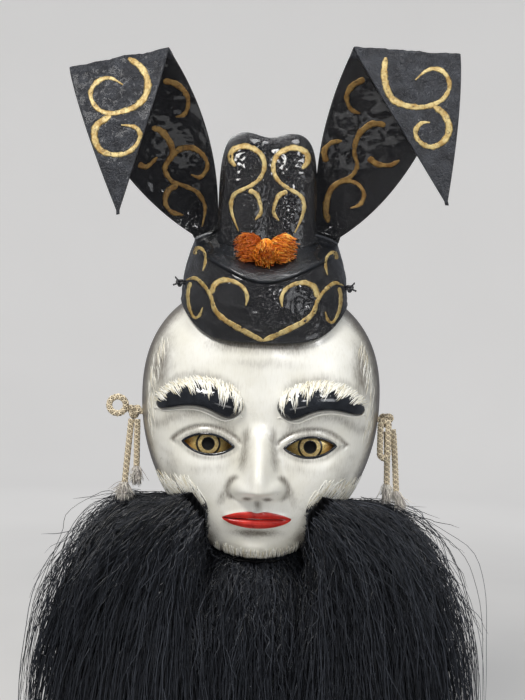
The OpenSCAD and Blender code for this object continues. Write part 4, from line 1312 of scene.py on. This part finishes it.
def chin_hair(count):
    """Roots along the chin."""
    x = rng.uniform(-46, 46, count)
    z = -103 + 0.004 * x * x - 5 * rng.random(count)
    roots = np.stack([x, -np.maximum(face_depth(x, z) - 0.5, 20), z], -1)
    level = rng.random(count)
    x_end = x * rng.uniform(1.0, 1.6, count) + rng.normal(0, 5, count)
    ends = np.stack([x_end, BEARD_Y - 18 + 34 * level, foot_of(x_end) + np.abs(rng.normal(0, 22, count))], -1)
    pulls = roots + np.stack([x * 0.10, -10 + 6 * level, np.full(count, -14.0)], -1)
    falls = np.stack([mix(x, x_end, 0.7), BEARD_Y - 26 + 34 * level, -150 + rng.normal(0, 10, count)], -1)
    return roots, pulls, falls, ends


def hair_core(name, x0, x1, side, replaces):
    """Dense mass under the loose strands, grooved along its length and ragged at its foot. Its foot runs from
    x0 to x1; side is 0 for the middle one."""
    rows, cols = ((110, 60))
    r, s = np.meshgrid(np.linspace(0, 1, rows), np.linspace(0, 1, cols), indexing="ij")
    ragged = 9 * np.sin(s * 31 + x0) + 7 * np.sin(s * 83)
    if side:
        start = root_start(s.ravel()).reshape(rows, cols, 2)
        end_x = spread_out(mix(x0, x1, s), 0)
        turn = np.stack([mix(start[..., 0], end_x, 0.5 + 0.35 * s),
                         mix(start[..., 1], CORE_TOP_Z, 0.55 - 0.35 * s)], -1)
        stop = np.stack([end_x, np.full_like(s, CORE_TOP_Z)], -1)
        upper = clamp(r / 0.3)[..., None]
        at = start * (1 - upper) ** 2 + turn * 2 * upper * (1 - upper) + stop * upper ** 2
        below = clamp((r - 0.3) / 0.7)
        x = at[..., 0] + (spread_out(mix(x0, x1, s), 1) - end_x) * clamp(2 * below)
        z = mix(at[..., 1], foot_of(end_x) + 30 + ragged, below)
        fade = np.sqrt(clamp(1 - s ** 5))
    else:
        x, z = mix(x0, x1, s), mix(-104.0, foot_of(0) + 30 + ragged, r)
        below, fade = clamp((r - 0.1) / 0.9), np.ones_like(s)
    shell = np.maximum(face_depth(x, z, -2) + 1.5, 9)
    free = ease(-75, -175, z)
    thick = (9 * fade + 2) * (1 - 0.25 * below - 0.6 * below ** 8)
    front = mix(shell + 4, -BEARD_Y + thick - 2, free)
    back = mix(shell, -BEARD_Y - thick - 2, free)
    groove = 1.5 * np.sin(s * (64 if side else 40) + 2 * np.sin(r * 7)) + 0.8 * np.sin(s * 151 + r * 9)
    verts, faces = grid_solid(*(np.stack([(side or 1) * x, -y, z], -1)
                                for y in (front + groove, np.minimum(back, front - 2))))
    tone = clamp(0.22 + 0.12 * np.sin(verts[:, 0] * 1.3))
    obj = mesh_piece(name, verts, faces, HAIR_DEEP, "hair", None, replaces, tone)
    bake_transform(obj)


def make_beard():
    """Three cores, and about 27,000 strands over them in layers; the loose ones are short."""
    share = 1.0
    for side, name in SIDES:
        hair_core("beard_core_" + name, 44.0, BEARD_HALF - 20.0, side, ["moustache_" + name, "beard_" + name])
    hair_core("beard_core_middle", -46.0, 46.0, 0, ["chin_tuft", "beard_middle"])
    for side, name in SIDES:
        for layer, depth, count in BEARD_LAYERS:
            hair("beard_%s_%s" % (layer, name), *side_hair(side, int(count * share), depth))
        hair("beard_loose_" + name, *side_hair(side, int(4000 * share), 0.15), True)
    hair("beard_chin_back", *chin_hair(int(2600 * share)))
    hair("beard_chin_loose", *chin_hair(int(2600 * share)), True)


# ---- stage, light and camera
def make_stage():
    """Pale round floor that turns up into a pale wall far outside the camera's reach on every side, in metres."""
    material = floor_look()
    foot, curve, wall_top, disc_r, gap = 2.3, 0.9, 3.2, 1.2, 0.012
    bends, n = 16, 96
    quarter = [k / bends * math.pi / 2 for k in range(bends + 1)]
    profile = [(foot + curve * math.sin(w), curve - curve * math.cos(w)) for w in quarter]
    profile.append((foot + curve, wall_top))
    angle = np.linspace(0, 2 * math.pi, n, endpoint=False)
    for name, rows in (("floor", [(0.001, 0), (disc_r / 2, 0), (disc_r, 0)]),
                       ("backdrop", [(disc_r, 0), (1.8, 0)] + profile)):
        mesh = bpy.data.meshes.new(name)
        mesh.from_pydata([(r * math.cos(w), r * math.sin(w), cad_floor - gap + h) for r, h in rows for w in angle],
                         [], [(i * n + k, i * n + (k + 1) % n, (i + 1) * n + (k + 1) % n, (i + 1) * n + k)
                              for i in range(len(rows) - 1) for k in range(n)])
        mesh.materials.append(material)
        mesh.flip_normals()
        mesh.shade_smooth()
        obj = add_object(name, mesh)
        obj.visible_glossy = False
        if name == "backdrop":
            obj.visible_diffuse = obj.visible_shadow = False


# name, place and size in metres, power in watts, colour
LIGHTS = (
    ("key", (-0.60, -0.95, 1.10), (0.42, 0.32), 19, (1.0, 0.98, 0.95)),
    ("glint", (0.75, -0.9, 0.95), (0.12, 0.3), 3.5, (1, 1, 1)),
    ("spark", (0.16, -1.2, 0.46), (0.10, 0.10), 1.1, (1, 1, 1)),
    ("fill", (1.0, -1.1, 0.35), (0.5, 0.5), 3.6, (0.95, 0.97, 1.0)),
    ("top", (0.25, -0.35, 1.4), (0.35, 0.35), 7, (1, 1, 1)),
    ("back", (-0.5, 0.9, 1.3), (0.8, 0.8), 8, (1, 1, 1)),
    ("low", (0.0, -1.2, -0.7), (0.8, 0.3), 1.5, (1, 1, 1)),
)
LIGHTS_AIM = Vector((0, -0.04, 0.02))
SKY_COLOUR, SKY_STRENGTH = (0.86, 0.90, 1.0, 1), 0.17


def make_lights():
    world = bpy.data.worlds.new("studio")
    world.use_nodes = True
    background = world.node_tree.nodes["Background"]
    background.inputs["Color"].default_value = SKY_COLOUR
    background.inputs["Strength"].default_value = SKY_STRENGTH
    bpy.context.scene.world = world
    bpy.context.scene.view_settings.view_transform = "Standard"
    for name, place, size, power, colour in LIGHTS:
        data = bpy.data.lights.new(name, "AREA")
        data.shape, data.size, data.size_y = "RECTANGLE", *size
        data.energy, data.color = power, colour
        obj = add_object(name, data)
        obj.location = place
        obj.rotation_euler = (LIGHTS_AIM - Vector(place)).to_track_quat("-Z", "Y").to_euler()


def make_camera():
    """Square on to the mask from a metre away, rolled two degrees so that the mask leans to the right."""
    data = bpy.data.cameras.new("camera")
    data.sensor_width, data.lens = 36, 55.4
    data.clip_start, data.clip_end = 0.01, 20
    roll = math.radians(-2)
    obj = add_object("camera", data)
    obj.location = EYE_POINT * MM
    obj.rotation_euler = (math.pi / 2, roll, 0)
    bpy.context.scene.camera = obj


def dress_cad_nodes():
    """Materials for the CAD's own nodes that stay as they are."""
    looks = {"eye_plate_left": eye_look("gilt_left", -1), "eye_plate_right": eye_look("gilt_right", 1),
             "forehead_pad": FELT, "cheek_pad_left": FELT, "cheek_pad_right": FELT,
             "hair_band_left": STRIP, "hair_band_right": STRIP, "hair_band_chin": STRIP,
             "wing_wire_left": wire_look(), "wing_wire_right": wire_look(),
             "sight_gauze_left": SHADE_GAUZE, "sight_gauze_right": SHADE_GAUZE}
    for name, material in looks.items():
        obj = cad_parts[name]
        obj.data.materials.clear()
        obj.data.materials.append(material)
        obj.data.shade_smooth()


cad_floor = min(corner[2] for corner in cad_box)

make_camera()
make_cords()
face = make_face()
brows = [make_brow(side, name) for side, name in SIDES]
skin_surface = surface_of(face, *brows)
make_lips()
make_face_strokes(skin_surface)
make_outlines(surface_of(face))
cap_band, cap_top = make_cap()
crest_front = make_crest()
wing_skins = {name: make_wing(side, name) for side, name in SIDES}
make_scrolls(cap_band, cap_top, crest_front, wing_skins)
make_tassels()
make_ties()
make_beard()
dress_cad_nodes()
make_stage()
make_lights()
